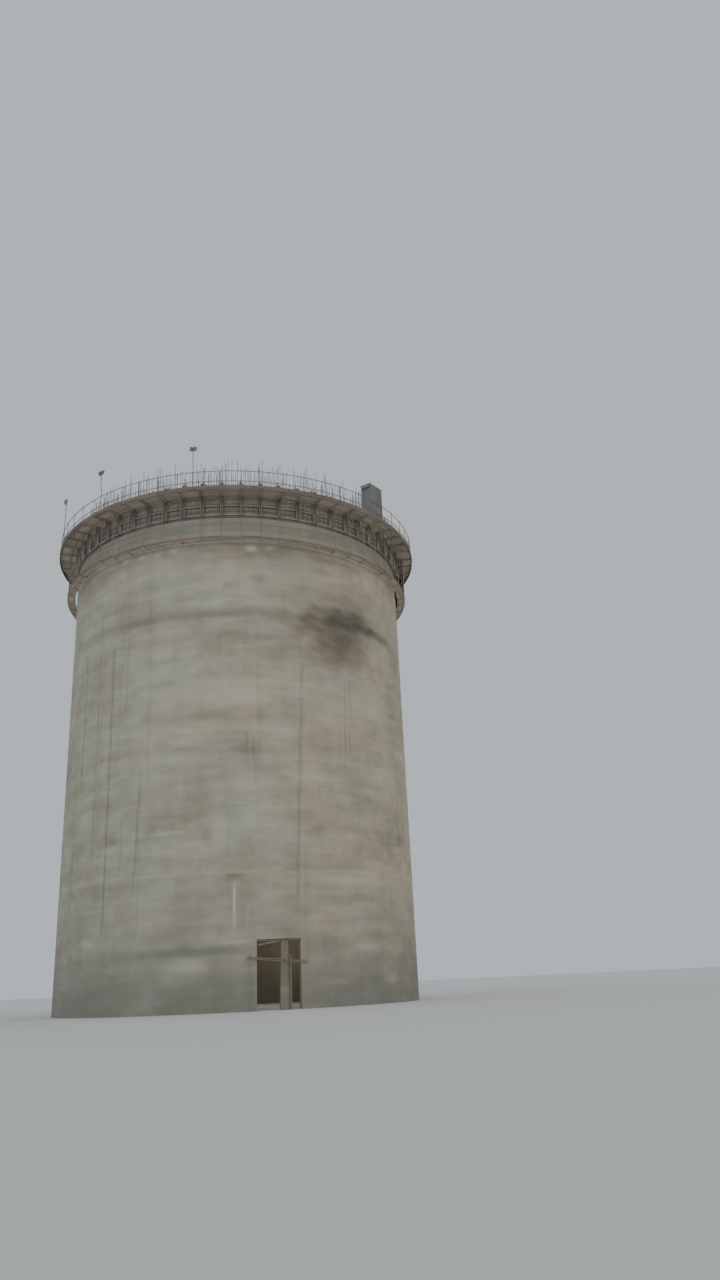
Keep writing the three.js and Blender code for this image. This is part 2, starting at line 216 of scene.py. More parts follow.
def chord(sizes, radius):
    """Length of a straight board from frame to frame, and its middle's distance from the axis."""
    half_step = math.radians(frame_step(sizes) / 2)
    return 2 * radius * math.sin(half_step), radius * math.cos(half_step)


def board_place(deg, radius, z, side=0.0, turn=0.0):
    """Where a board lies that runs round the silo: its middle's direction, radius and height."""
    turned_place = Matrix.Rotation(math.radians(90.0 + turn), 4, "Z")
    return outward(deg) @ Matrix.Translation((radius, side, z)) @ turned_place


# Shapes

def new_shape():
    """An empty shape. Its boards keep their own coordinates for the grain, and a shade each."""
    shape = bmesh.new()
    shape.verts.layers.float_vector.new("grain")
    shape.verts.layers.float.new("shade")
    return shape


def add_block(shape, low, high):
    """A block between two corners."""
    low, high = Vector(low), Vector(high)
    matrix = Matrix.Translation((low + high) / 2) @ Matrix.Diagonal((*(high - low), 1.0))
    return bmesh.ops.create_cube(shape, size=1.0, matrix=matrix)["verts"]


def add_pad(shape, radius, half, bottom, top):
    """A square block round an upright, such as a coupler or a base plate."""
    return add_block(shape, (radius - half, -half, bottom), (radius + half, half, top))


def add_bar(shape, start, end, radius, sides=6):
    """A round bar or tube between two points."""
    start, end = Vector(start), Vector(end)
    along = end - start
    matrix = Matrix.Translation((start + end) / 2) @ along.to_track_quat("Z", "Y").to_matrix().to_4x4()
    return bmesh.ops.create_cone(
        shape, cap_ends=True, segments=sides, radius1=radius, radius2=radius, depth=along.length,
        matrix=matrix,
    )["verts"]


def add_prism(shape, outline, vector):
    """Pulls a flat outline out along a vector."""
    verts = [shape.verts.new(point) for point in outline]
    face = shape.faces.new(verts)
    made = bmesh.ops.extrude_face_region(shape, geom=[face])["geom"]
    far = [item for item in made if isinstance(item, bmesh.types.BMVert)]
    bmesh.ops.translate(shape, vec=vector, verts=far)
    return verts + far


def add_ring(shape, outline, start, end, step=1.5):
    """Spins an outline of (radius, height) points round the axis from one direction to another."""
    verts = [shape.verts.new((radius, 0.0, z)) for radius, z in outline]
    face = shape.faces.new(verts)
    bmesh.ops.rotate(shape, cent=(0, 0, 0), matrix=outward(start).to_3x3(), verts=verts)
    bmesh.ops.spin(
        shape, geom=[*verts, *face.edges, face], cent=(0, 0, 0), axis=(0, 0, 1), dvec=(0, 0, 0),
        angle=math.radians(end - start), steps=max(1, round((end - start) / step)),
        use_merge=False, use_normal_flip=False, use_duplicate=False,
    )


def add_band(shape, inner, outer, bottom, top, start, end, step=1.5):
    """Spins a rectangle between two radii and two heights."""
    add_ring(shape, [(inner, bottom), (outer, bottom), (outer, top), (inner, top)], start, end, step)


def repeat_round(shape, verts, start, step, count):
    """Copies a piece made on the +X side to equally spaced directions."""
    bmesh.ops.transform(shape, matrix=outward(start), verts=verts)
    chosen = set(verts)
    edges = {edge for vert in verts for edge in vert.link_edges if chosen.issuperset(edge.verts)}
    faces = {face for vert in verts for face in vert.link_faces if chosen.issuperset(face.verts)}
    bmesh.ops.spin(
        shape, geom=[*verts, *edges, *faces], cent=(0, 0, 0), axis=(0, 0, 1), dvec=(0, 0, 0),
        angle=math.radians(step * (count - 1)), steps=count - 1,
        use_merge=False, use_normal_flip=False, use_duplicate=True,
    )


def add_board(shape, length, width, thickness, place, dice):
    """A sawn board along its own X, put in place by a matrix."""
    matrix = Matrix.Diagonal((length, width, thickness, 1.0))
    verts = bmesh.ops.create_cube(shape, size=1.0, matrix=matrix)["verts"]
    grain = shape.verts.layers.float_vector["grain"]
    shade = shape.verts.layers.float["shade"]
    shift = Vector((dice.uniform(0, 90), dice.uniform(0, 90), dice.uniform(0, 90)))
    board_shade = dice.random()
    for vert in verts:
        vert[grain] = vert.co + shift
        vert[shade] = board_shade
    bmesh.ops.transform(shape, matrix=place, verts=verts)
    return verts


def add_edge_boards(shape, sizes, frames, radius, board, heights, dice):
    """Boards on edge from frame to frame, each with its middle between the two heights."""
    for deg in frame_degs(sizes, frames)[:-1]:
        place = board_place(deg + frame_step(sizes) / 2, radius, dice.uniform(*heights))
        add_board(shape, *board, place, dice)


def add_rail_run(shape, degs, radius, z, tube):
    """A tube from post to post."""
    place = Vector((radius, 0, z))
    for first, second in zip(degs, degs[1:]):
        add_bar(shape, outward(first) @ place, outward(second) @ place, tube, 8)


def add_object(name, data):
    """Puts a mesh, a lamp or a camera into the scene."""
    item = bpy.data.objects.new(name, data)
    bpy.context.scene.collection.objects.link(item)
    return item


def add_piece(name, shape, finish, nodes=()):
    """Finishes a shape as a piece of the silo that stands for its CAD nodes."""
    bmesh.ops.recalc_face_normals(shape, faces=shape.faces)
    mesh = bpy.data.meshes.new(name)
    shape.to_mesh(mesh)
    shape.free()
    mesh.materials.append(finish_named(finish))
    mesh.polygons.foreach_set("use_smooth", [True] * len(mesh.polygons))
    mesh.set_sharp_from_angle(angle=SHARP_EDGE)
    piece = add_object(name, mesh)
    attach(piece, "root")
    if nodes:
        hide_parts(*nodes)
    return piece


# Materials

def set_inputs(tree, node, inputs):
    """Sets or links a node's inputs, given in order or by name. A node as a value stands for its output."""
    if not isinstance(inputs, dict):
        used = [number for number, socket in enumerate(node.inputs) if socket.enabled]
        inputs = dict(zip(used, inputs))
    for socket, value in inputs.items():
        if isinstance(value, bpy.types.Node):
            value = next(output for output in value.outputs if output.enabled)
        if isinstance(value, bpy.types.NodeSocket):
            tree.links.new(value, node.inputs[socket])
        else:
            node.inputs[socket].default_value = value


def add_node(tree, kind, inputs=(), **settings):
    """Adds a shader node with its settings, inputs and links."""
    node = tree.nodes.new("ShaderNode" + kind)
    for name, value in settings.items():
        setattr(node, name, value)
    set_inputs(tree, node, inputs)
    return node


def start_material(name):
    """An empty material: its node tree and the shader that its output shows."""
    found = bpy.data.materials.get(name)
    if found:
        bpy.data.materials.remove(found)
    material = bpy.data.materials.new(name)
    material.use_nodes = True
    tree = material.node_tree
    tree.nodes.clear()
    shader = add_node(tree, "BsdfPrincipled")
    add_node(tree, "OutputMaterial", {"Surface": shader})
    return material, tree, shader


def full(colour_value, gain=1.0):
    """A colour with its alpha, made lighter or darker."""
    return (*(min(1.0, channel * gain) for channel in colour_value), 1.0)


def slip_formed_concrete(tree, finish):
    """Concrete rubbed by a rising form: cloudy lifts, level bands, rub marks, a sandy skin, and stains with
    painted light and shade among them.
    """
    place = add_node(tree, "TexCoord").outputs["Object"]
    # Stretch along X, Y and Z, scale, detail and roughness of each pattern
    patterns = {
        # Clouds 2 to 4 m across with smaller ones in them
        "clouds": ((1.0, 1.0, 1.0), 0.32, 7.0, 0.62),
        # Level bands of one lift, about 0.7 m high and 6 m long
        "bands": ((0.16, 0.16, 1.4), 1.0, 3.5, 0.5),
        # Short level marks of single lifts, about 0.5 m high and 1.4 m long
        "lifts": ((0.7, 0.7, 2.0), 1.0, 3.0, 0.5),
        # Upright rub marks 0.3 to 0.6 m wide
        "rubs": ((1.9, 1.9, 0.13), 1.0, 3.0, 0.5),
        # Sand and small voids of 20 to 60 mm
        "sand": ((1.0, 1.0, 1.0), 16.0, 8.0, 0.65),
        # Patches of 3 to 6 m that dried warmer or cooler
        "casts": ((1.0, 1.0, 1.0), 0.22, 3.0, 0.5),
    }
    noise = {}
    for pattern, (stretch, *values) in patterns.items():
        stretched = add_node(tree, "Mapping", {"Vector": place, "Scale": stretch})
        noise[pattern] = add_node(tree, "TexNoise", (stretched, *values))
    band_share = add_node(tree, "Math", (noise["bands"], 0.42), operation="MULTIPLY")
    share = band_share
    for pattern, weight in {"clouds": 0.68, "lifts": 0.34, "rubs": 0.16}.items():
        share = add_node(tree, "Math", (noise[pattern], weight, share), operation="MULTIPLY_ADD")
    tone = add_node(tree, "MapRange", (share, 0.62, 0.98, 0.0, 1.0))
    # The +X side turns warmer and lighter
    side = add_node(tree, "SeparateXYZ", (place,)).outputs["X"]
    side_share = add_node(tree, "Math", (side, 0.024, noise["casts"]), operation="MULTIPLY_ADD")
    warm = add_node(tree, "MapRange", (side_share, 0.30, 0.70, 0.0, 1.0))
    cool, light = full(finish.concrete_cool), full(finish.concrete_light)
    dry = add_node(tree, "Mix", (warm, cool, light), data_type="RGBA")
    base = add_node(tree, "Mix", (tone, full(finish.concrete_dark), dry), data_type="RGBA")
    grit = add_node(tree, "MapRange", (noise["sand"], 0.3, 0.7, 0.92, 1.06))
    skin = add_node(tree, "Mix", (1.0, base, grit), data_type="RGBA", blend_type="MULTIPLY")
    marks = add_node(tree, "Attribute", attribute_name="marks").outputs
    # Painted shade rides in the dark and wet channels and painted light in the pale one, among the stains
    soot_and_shade, lime_and_light, damp_and_shade = add_node(tree, "SeparateColor", (marks["Color"],)).outputs[:3]
    rust = marks["Alpha"]
    # Stains, and the painted light and shade among them, break up along the rub marks and lifts
    broken = add_node(tree, "MapRange", (share, 0.6, 1.0, 1.2, 0.8))
    stains = ((damp_and_shade, finish.damp_and_shade), (rust, finish.rust_wash), (soot_and_shade, finish.soot_and_shade), (lime_and_light, finish.lime_and_light))
    for stain, shade in stains:
        amount = add_node(tree, "Math", (stain, broken), operation="MULTIPLY", use_clamp=True)
        skin = add_node(tree, "Mix", (amount, skin, full(shade)), data_type="RGBA")
    height = add_node(tree, "Math", (noise["sand"], 0.35, band_share), operation="MULTIPLY_ADD")
    return {
        "Base Color": skin,
        "Roughness": add_node(tree, "MapRange", (noise["sand"], 0.3, 0.7, 0.82, 0.96)),
        "IOR": 1.5,
        "Normal": add_node(tree, "Bump", {"Strength": 0.5, "Distance": 0.02, "Height": height}),
    }


def site_steel(tree, paint, patch, metallic, roughness, patch_size=0.12, last_layer=None):
    """Painted or bare site steel: dull patches of cement or rust lie over an unevenly worn coat."""
    place = add_node(tree, "TexCoord").outputs["Object"]
    wear = add_node(tree, "TexNoise", (place, 1.0 / patch_size, 6.0, 0.65))
    dirt = add_node(tree, "TexNoise", (place, 1.1, 4.0, 0.5))
    amount = add_node(tree, "MapRange", (wear, 0.50, 0.66, 0.0, 0.85))
    shaded = add_node(tree, "MapRange", (dirt, 0.3, 0.7, 0.78, 1.15))
    coat = add_node(tree, "Mix", (1.0, full(paint), shaded), data_type="RGBA", blend_type="MULTIPLY")
    mixed = add_node(tree, "Mix", (amount, coat, full(patch)), data_type="RGBA")
    # A patch is as dull as cement where it is thickest, and no metal shows there
    return {
        "Base Color": last_layer(tree, place, mixed) if last_layer else mixed,
        "Metallic": add_node(tree, "MapRange", (amount, 0.0, 0.85, metallic, 0.0)),
        "Roughness": add_node(tree, "MapRange", (amount, 0.0, 0.85, roughness, 0.92)),
        "Normal": add_node(tree, "Bump", {"Strength": 0.35, "Distance": 0.003, "Height": wear}),
    }


def shade_where(tree, amount, coat, shade):
    """Darkens a coat by a shade where the amount says so."""
    dark = add_node(tree, "Mix", (1.0, coat, full(shade)), data_type="RGBA", blend_type="MULTIPLY")
    return add_node(tree, "Mix", (amount, coat, dark), data_type="RGBA")


def painted_face_shade(sizes, worn):
    """Painted shade: the lifting frames' faces farthest from the wall, which catch the most light, are
    darkened by the worn shade so that they match the shaded hollows between them.
    """
    middle = sizes.wall_radius - sizes.wall_thickness / 2
    reach = sizes.wall_thickness / 2 + sizes.form_depth + sizes.waler_depth + sizes.leg_depth - 0.006

    def layer(tree, place, coat):
        level = add_node(tree, "VectorMath", (place, (1.0, 1.0, 0.0)), operation="MULTIPLY")
        radius = add_node(tree, "VectorMath", (level,), operation="LENGTH")
        aside = add_node(tree, "Math", (radius, middle), operation="SUBTRACT")
        away = add_node(tree, "Math", (aside,), operation="ABSOLUTE")
        # Painted shade on every face farther from the wall's middle than the legs' backs
        return shade_where(tree, add_node(tree, "Math", (away, reach), operation="GREATER_THAN"), coat, worn)
    return layer


def painted_lower_form_shade(sizes, lower_shade):
    """Painted shade: the form sheets are darkened below their top, where the light under the deck reaches
    them most, so that they look as evenly lit as their top in the deck's shadow.
    """
    low, high = sizes.form_top - 0.90, sizes.form_top - 0.35

    def layer(tree, place, coat):
        height = add_node(tree, "SeparateXYZ", (place,)).outputs["Z"]
        # Painted shade, full below the low height and fading out up to the high one
        return shade_where(tree, add_node(tree, "MapRange", (height, low, high, 1.0, 0.0)), coat, lower_shade)
    return layer


def sawn_timber(tree, pale, dark):
    """Rough sawn spruce on a wet site: long grain, one shade for each board, and splashes of cement water."""
    # Each board has its own place in the wood, so that no two show the same grain
    place = add_node(tree, "Attribute", attribute_name="grain").outputs["Vector"]
    shade = add_node(tree, "Attribute", attribute_name="shade").outputs["Fac"]
    # Growth rings 6 to 12 mm apart run along the board
    along = add_node(tree, "Mapping", {"Vector": place, "Scale": (1.2, 55.0, 55.0)})
    rings = add_node(tree, "TexNoise", (along, 1.0, 5.0, 0.6))
    splash = add_node(tree, "TexNoise", (place, 2.6, 5.0))
    tone = add_node(tree, "Math", (rings, 0.6, shade), operation="MULTIPLY_ADD")
    share = add_node(tree, "MapRange", (tone, 0.1, 1.45, 0.0, 1.0))
    wood = add_node(tree, "Mix", (share, full(dark), full(pale)), data_type="RGBA")
    splashed = add_node(tree, "MapRange", (splash, 0.52, 0.72, 0.0, 0.4))
    return {
        "Base Color": add_node(tree, "Mix", (splashed, wood, full(dark, 0.55)), data_type="RGBA"),
        "Roughness": 0.85,
        "IOR": 1.5,
        "Normal": add_node(tree, "Bump", {"Strength": 0.4, "Distance": 0.002, "Height": rings}),
    }


def lamp_glass(tree, tint):
    """Toughened floodlight glass over a reflector: grey and glossy when it is switched off."""
    place = add_node(tree, "TexCoord").outputs["Object"]
    dust = add_node(tree, "TexNoise", (place, 12.0, 3.0))
    rough = add_node(tree, "MapRange", (dust, 0.3, 0.7, 0.12, 0.4))
    return {"Base Color": full(tint), "Roughness": rough, "IOR": 1.52}


def finish_named(name):
    """The finish of that name, made when a piece first needs it."""
    found = bpy.data.materials.get(name)
    if found:
        return found
    scene = bpy.context.scene
    finish, sizes = scene.silo_finish, scene.silo_sizes
    # Layers of painted shade for the form sheets and for the lifting frames
    rim, faces = painted_lower_form_shade(sizes, finish.form_lower_shade), painted_face_shade(sizes, finish.frame_face_shade)
    # Steels have their colours, metal, roughness and the size of their patches in metres
    makers = {
        "slip_formed_concrete": (slip_formed_concrete, finish),
        # Rolled sheet, dull under patches of dried cement, with painted shade over its lower part
        "cement_dusted_and_shaded_form_steel": (site_steel, finish.form_steel, finish.form_cement, 0.15, 0.75, 0.35, rim),
        # Old brushed-on paint, chalky with dust, with painted shade on its outer faces
        "worn_and_face_shaded_frame_paint": (site_steel, finish.frame_steel, finish.frame_dust, 0.1, 0.75, 0.12, faces),
        # Dipped scaffold tube, matt grey with splashes of concrete
        "zinc_coated_tube": (site_steel, finish.tube, finish.concrete_dark, 0.5, 0.55),
        # Hot-rolled bar, brown with dark scale
        "rusty_ribbed_bar": (site_steel, finish.rust, finish.rust_dark, 0.2, 0.8, 0.06),
        # Sprayed sheet, grey with chalky places half a metre across
        "grey_cabin_paint": (site_steel, finish.cabin_sheet, finish.cabin_worn, 0.1, 0.65, 0.5),
        # Planks that are pale with cement, tan ones, brown ones, and the yellowish prop
        "dusted_deck_timber": (sawn_timber, finish.deck_timber, finish.deck_dark),
        "tan_board_timber": (sawn_timber, finish.tan_timber, finish.tan_dark),
        "brown_board_timber": (sawn_timber, finish.brown_timber, finish.brown_dark),
        "yellow_prop_timber": (sawn_timber, finish.prop_timber, finish.prop_dark),
        "lamp_glass": (lamp_glass, finish.lamp_glass),
    }
    maker, *values = makers[name]
    material, tree, shader = start_material(name)
    set_inputs(tree, shader, maker(tree, *values))
    return material


# Stains and relief of the wall. A place on it is (direction in degrees from the doorway, height in metres).

# Level dark bands: height, first and last direction, half height, strength. The all-round band at 32.5 m is
# painted shadow of the deck; the bands from 29.9 to 30.4 m darken the wall just under the walkway.
DARK_BANDS = [
    (25.6, -74, 46, 0.36, 0.32), (32.5, -180, 180, 0.5, 0.12), (23.9, -25, 1, 0.18, 0.3),
    (18.35, -43, 4, 0.24, 0.2), (16.2, -31, -5, 0.34, 0.16), (29.9, -90, 24, 0.9, 0.19),
    (30.1, 24, 90, 0.45, 0.1), (30.4, -90, 24, 0.4, 0.26), (0.9, -180, 180, 1.0, 0.16),
]

# Light level runs where a pour stopped. The run at 30.6 m is painted light that lifts the walkway's shadow on
# the wall.
PALE_BANDS = [
    (8.15, -76, 60, 0.1, 0.26), (26.35, -70, 8, 0.16, 0.12), (30.6, -80, 80, 0.16, 0.1),
    (16.8, -30, -4, 0.12, 0.14), (8.15, 60, 284, 0.1, 0.26),
]

# Upright streaks: direction at the top and at the bottom, top, bottom, half width, strength
STREAKS = [
    (-67.9, -67.7, 24.2, 15.0, 0.1, 0.4), (-59.3, -58.6, 27.4, 9.5, 0.1, 0.42),
    (-57.9, -57.3, 27.4, 10.5, 0.1, 0.36), (-52.9, -52.6, 24.2, 5.2, 0.09, 0.46),
    (-40.6, -41.5, 14.2, 7.6, 0.08, 0.38), (8.4, 5.3, 22.2, 6.0, 0.13, 0.29),
    (23.7, 22.6, 21.2, 15.2, 0.07, 0.32), (25.7, 24.8, 21.4, 16.0, 0.07, 0.3),
    (-70.9, -71.2, 12.0, 6.0, 0.1, 0.28), (-46.5, -46.9, 12.0, 8.6, 0.08, 0.24),
    (-8.6, -8.8, 17.0, 15.2, 0.05, 0.3), (-6.8, -6.9, 16.8, 15.3, 0.05, 0.3),
]

PALE_STREAKS = [
    (-12.1, -12.1, 7.4, 4.9, 0.07, 0.6), (-8.4, -8.4, 6.2, 5.2, 0.05, 0.35),
    (-58.4, -57.9, 26.5, 9.0, 0.22, 0.16),
]

# Soft spots: direction, height, half width and half height in metres, strength
DARK_SPOTS = [
    (24.5, 25.1, 3.5, 1.6, 0.4), (18.5, 22.9, 2.3, 1.3, 0.26), (24.0, 27.3, 2.4, 0.8, 0.18),
    (15.5, 26.2, 2.0, 0.6, 0.16), (21.0, 26.3, 2.6, 0.52, 0.24), (26.0, 25.9, 2.3, 0.7, 0.22),
    (33.2, 25.97, 1.6, 0.45, 0.14), (39.7, 25.74, 1.4, 0.34, 0.3), (44.2, 25.45, 0.7, 0.51, 0.28),
    (20.0, 24.34, 1.65, 0.8, 0.24), (26.0, 23.6, 1.6, 0.8, 0.16), (30.5, 26.45, 1.5, 0.75, 0.26),
    (18.0, 25.1, 1.6, 0.9, 0.18), (19.5, 28.0, 4.0, 0.9, 0.15), (31.5, 24.8, 1.3, 0.7, 0.14),
    (10.7, 25.61, 0.72, 0.3, 0.22), (-4.7, 28.28, 0.59, 0.26, 0.26), (-5.4, 27.69, 0.32, 0.42, 0.18),
    (-13.4, 27.69, 0.53, 0.15, 0.24), (-14.3, 26.25, 0.53, 0.23, 0.2), (0.9, 29.33, 1.12, 0.1, 0.16),
    (-15.7, 25.46, 1.58, 0.25, 0.2), (2.8, 25.49, 1.68, 0.28, 0.26), (-14.3, 23.67, 1.99, 0.22, 0.2),
    (-2.8, 23.71, 0.64, 0.18, 0.14), (5.2, 20.82, 0.55, 0.13, 0.16), (7.0, 19.5, 0.56, 0.15, 0.2),
    (-0.7, 18.28, 1.05, 0.25, 0.18), (-17.7, 18.29, 1.32, 0.32, 0.18), (4.8, 16.42, 0.54, 0.26, 0.22),
    (12.6, 16.46, 0.7, 0.21, 0.14), (49.3, 25.55, 0.61, 0.72, 0.24), (52.5, 23.66, 1.86, 0.18, 0.2),
    (30.3, 23.89, 0.34, 0.19, 0.24), (3.0, 30.59, 1.37, 0.36, 0.2), (16.9, 30.48, 1.21, 0.32, 0.16),
    (-21.6, 30.45, 0.66, 0.36, 0.16), (-35.0, 25.42, 3.04, 0.16, 0.24), (-41.4, 23.79, 2.26, 0.16, 0.22),
    (-40.1, 28.49, 0.68, 0.2, 0.22), (-40.3, 27.82, 0.49, 0.32, 0.18), (-27.6, 27.91, 0.64, 0.13, 0.16),
    (-50.8, 23.99, 0.74, 0.2, 0.2), (-33.8, 20.7, 0.88, 0.1, 0.14), (-37.4, 18.51, 1.36, 0.24, 0.16),
    (-28.1, 19.33, 0.62, 0.37, 0.16), (-26.9, 16.19, 0.9, 0.12, 0.2), (-33.1, 30.23, 0.57, 0.21, 0.18),
    (-55.4, 30.25, 0.69, 0.22, 0.16), (-8.2, 16.0, 1.2, 0.8, 0.24), (-13.3, 12.6, 2.3, 0.8, 0.12),
    (-4.2, 28.1, 0.65, 0.55, 0.2), (-14.5, 27.6, 0.3, 0.28, 0.2), (-39.3, 28.0, 0.9, 0.7, 0.12),
    (-7.0, 29.8, 0.45, 0.36, 0.22), (-36.5, 11.1, 0.45, 0.27, 0.3), (-20.1, 10.7, 0.5, 0.55, 0.24),
    (12.1, 10.8, 0.5, 0.36, 0.32), (-50.0, 10.6, 0.5, 0.4, 0.32), (-69.3, 10.8, 0.85, 0.26, 0.24),
    (49.2, 10.7, 1.0, 0.4, 0.3), (-29.9, 11.1, 0.3, 0.42, 0.2), (-12.3, 7.93, 0.62, 0.17, 0.5),
    (-7.4, 6.7, 0.55, 0.28, 0.18), (27.0, 6.5, 1.4, 0.3, 0.15), (14.0, 4.0, 0.45, 0.28, 0.18),
]

# Pale spots. The first five, just under the walkway, are painted light that falls between its bearers.
PALE_SPOTS = [
    (-51.5, 31.15, 0.47, 0.22, 0.34), (-60.6, 31.32, 0.5, 0.11, 0.34), (-63.2, 31.17, 0.33, 0.1, 0.3),
    (-68.2, 31.43, 0.33, 0.18, 0.26), (-27.8, 31.06, 0.66, 0.16, 0.24), (-34.6, 29.72, 1.04, 0.63, 0.16),
    (-34.8, 27.37, 1.03, 0.45, 0.14), (-42.2, 21.93, 1.62, 0.43, 0.16), (-17.2, 28.38, 1.18, 0.59, 0.12),
    (7.0, 20.05, 0.67, 0.6, 0.18), (8.3, 22.23, 0.69, 0.22, 0.14), (36.1, 24.69, 1.0, 0.49, 0.16),
    (-23.4, 19.9, 5.0, 1.3, 0.2), (-7.3, 13.6, 2.0, 0.8, 0.24), (33.9, 19.9, 2.3, 1.4, 0.2),
    (38.6, 14.75, 2.1, 1.3, 0.2), (-44.2, 29.1, 3.5, 1.2, 0.15), (24.9, 7.65, 4.2, 0.3, 0.4),
    (5.6, 28.75, 2.8, 1.2, 0.14), (-7.2, 17.4, 4.1, 0.4, 0.16), (-24.7, 2.7, 1.2, 0.5, 0.36),
    (-12.7, 27.2, 0.5, 0.22, 0.2), (16.9, 18.9, 3.1, 0.9, 0.14),
]

# Brown wash that ran from rusty bars
RUST_SPOTS = [
    (20.0, 24.4, 2.6, 1.2, 0.46), (19.5, 22.8, 2.6, 1.0, 0.34), (-26.0, 24.9, 6.5, 1.6, 0.14),
    (28.0, 22.95, 1.95, 0.5, 0.26), (6.5, 24.79, 1.3, 0.6, 0.3), (12.7, 24.98, 0.8, 0.5, 0.26),
    (14.4, 29.26, 0.77, 0.18, 0.24), (3.3, 22.46, 1.4, 0.8, 0.14), (9.8, 18.32, 1.4, 1.4, 0.12),
    (29.2, 17.33, 2.0, 0.8, 0.14), (-30.0, 12.2, 2.2, 0.9, 0.12), (4.0, 8.4, 1.6, 0.6, 0.14),
    (64.0, 28.6, 0.7, 1.8, 0.26),
]

DAMP_SPOTS = [
    (-25.6, 3.5, 4.0, 0.26, 0.65), (-48.5, 7.4, 5.0, 0.5, 0.24), (-24.1, 6.3, 3.0, 0.75, 0.2),
    (36.4, 27.4, 4.9, 1.0, 0.24), (14.5, 3.8, 1.3, 0.46, 0.24), (-47.3, 26.25, 5.0, 1.4, 0.12),
]

# More marks are scattered over two stretches. The near side has no more bands, and fainter dark marks.
POUR_HEIGHTS = [5.9, 8.0, 10.7, 13.4, 16.2, 18.5, 21.2, 23.9, 25.6, 28.3]
FAR_SIDE = (62, 282)
NEAR_SIDE = (-78, 62)

# Height, half width, half height and strength of the patches of painted light between the walkway's bearers
BEARER_GAP_LIGHT_LIMITS = ((30.35, 30.75), (0.25, 0.5), (0.09, 0.16), (0.2, 0.36))


def turned(deg):
    """A difference of directions, from -180 to 180 degrees."""
    return (deg + 180.0) % 360.0 - 180.0


def fall_off(distance, half):
    """One on a mark, with a soft edge at its half width."""
    return np.exp(-np.abs(distance / half) ** 2.5)


def band_marks(bands, deg, z, radius):
    """How strongly wavy level bands mark each place, in patches along their length."""
    total = np.zeros_like(z)
    around = np.radians(deg)
    for height, first, last, half, strength in bands:
        middle, reach = (first + last) / 2, (last - first) / 2
        beyond = np.maximum(np.abs(turned(deg - middle)) - reach, 0.0) * math.radians(radius)
        wave = 0.05 * np.sin(around * 13 + height * 5) + 0.03 * np.sin(around * 37 + height)
        wave += 0.02 * np.sin(around * 71)
        patchy = 0.72 + 0.28 * np.sin(around * 17 + height * 3) * np.sin(around * 7 - height)
        total += strength * patchy * fall_off(beyond, 1.2) * fall_off(z - height - wave, half)
    return total


def streak_marks(streaks, deg, z, radius):
    """How strongly upright streaks mark each place. They lean and waver, and fade at both ends."""
    total = np.zeros_like(z)
    for top_deg, bottom_deg, top, bottom, half, strength in streaks:
        share = np.clip((top - z) / (top - bottom), 0.0, 1.0)
        middle = top_deg + (bottom_deg - top_deg) * share + 0.10 * np.sin(z * 1.7 + top_deg)
        aside = np.radians(turned(deg - middle)) * radius
        ends = np.clip((top + 0.4 - z) / 0.8, 0.0, 1.0) * np.clip((z - bottom + 0.6) / 1.2, 0.0, 1.0)
        total += strength * ends * fall_off(aside, half)
    return total


def spot_marks(spots, deg, z, radius):
    """How strongly soft spots with an uneven outline mark each place."""
    total = np.zeros_like(z)
    for middle, height, half_width, half_height, strength in spots:
        aside = np.radians(turned(deg - middle)) * radius / half_width
        edge = 1.0 + 0.16 * np.sin(np.radians(deg) * 41 + z * 2.9) * np.sin(z * 4.3 + height)
        total += strength * fall_off(np.hypot(aside, (z - height) / half_height) * edge, 1.0)
    return total


def scattered_spots(dice, count, *limits):
    """Spots whose direction, height, half width, half height and strength lie between their limits."""
    return [tuple(dice.uniform(low, high) for low, high in limits) for _ in range(count)]


def scattered_marks(dice, stretch):
    """More marks of the same kinds for a stretch of the wall."""
    bands, streaks = [], []
    for _ in range(26):
        start = dice.uniform(*stretch)
        height = dice.choice(POUR_HEIGHTS) + dice.uniform(-0.2, 0.2)
        end = start + dice.uniform(8, 45)
        bands.append((height, start, end, dice.uniform(0.12, 0.3), dice.uniform(0.12, 0.32)))
    for _ in range(22):
        deg, top = dice.uniform(*stretch), dice.uniform(9, 28)
        bottom = max(2.0, top - dice.uniform(4, 14))
        lean = dice.uniform(-0.6, 0.6)
        streaks.append((deg, deg + lean, top, bottom, dice.uniform(0.06, 0.11), dice.uniform(0.2, 0.45)))
    spots = scattered_spots(dice, 30, stretch, (2, 30), (0.4, 1.6), (0.15, 0.5), (0.08, 0.2))
    pale = scattered_spots(dice, 18, stretch, (1, 31), (0.3, 1.4), (0.08, 0.35), (0.12, 0.35))
    return bands, streaks, spots, pale


def faded(marks, share):
    """The same marks at a share of their strength."""
    return [(*place, strength * share) for *place, strength in marks]


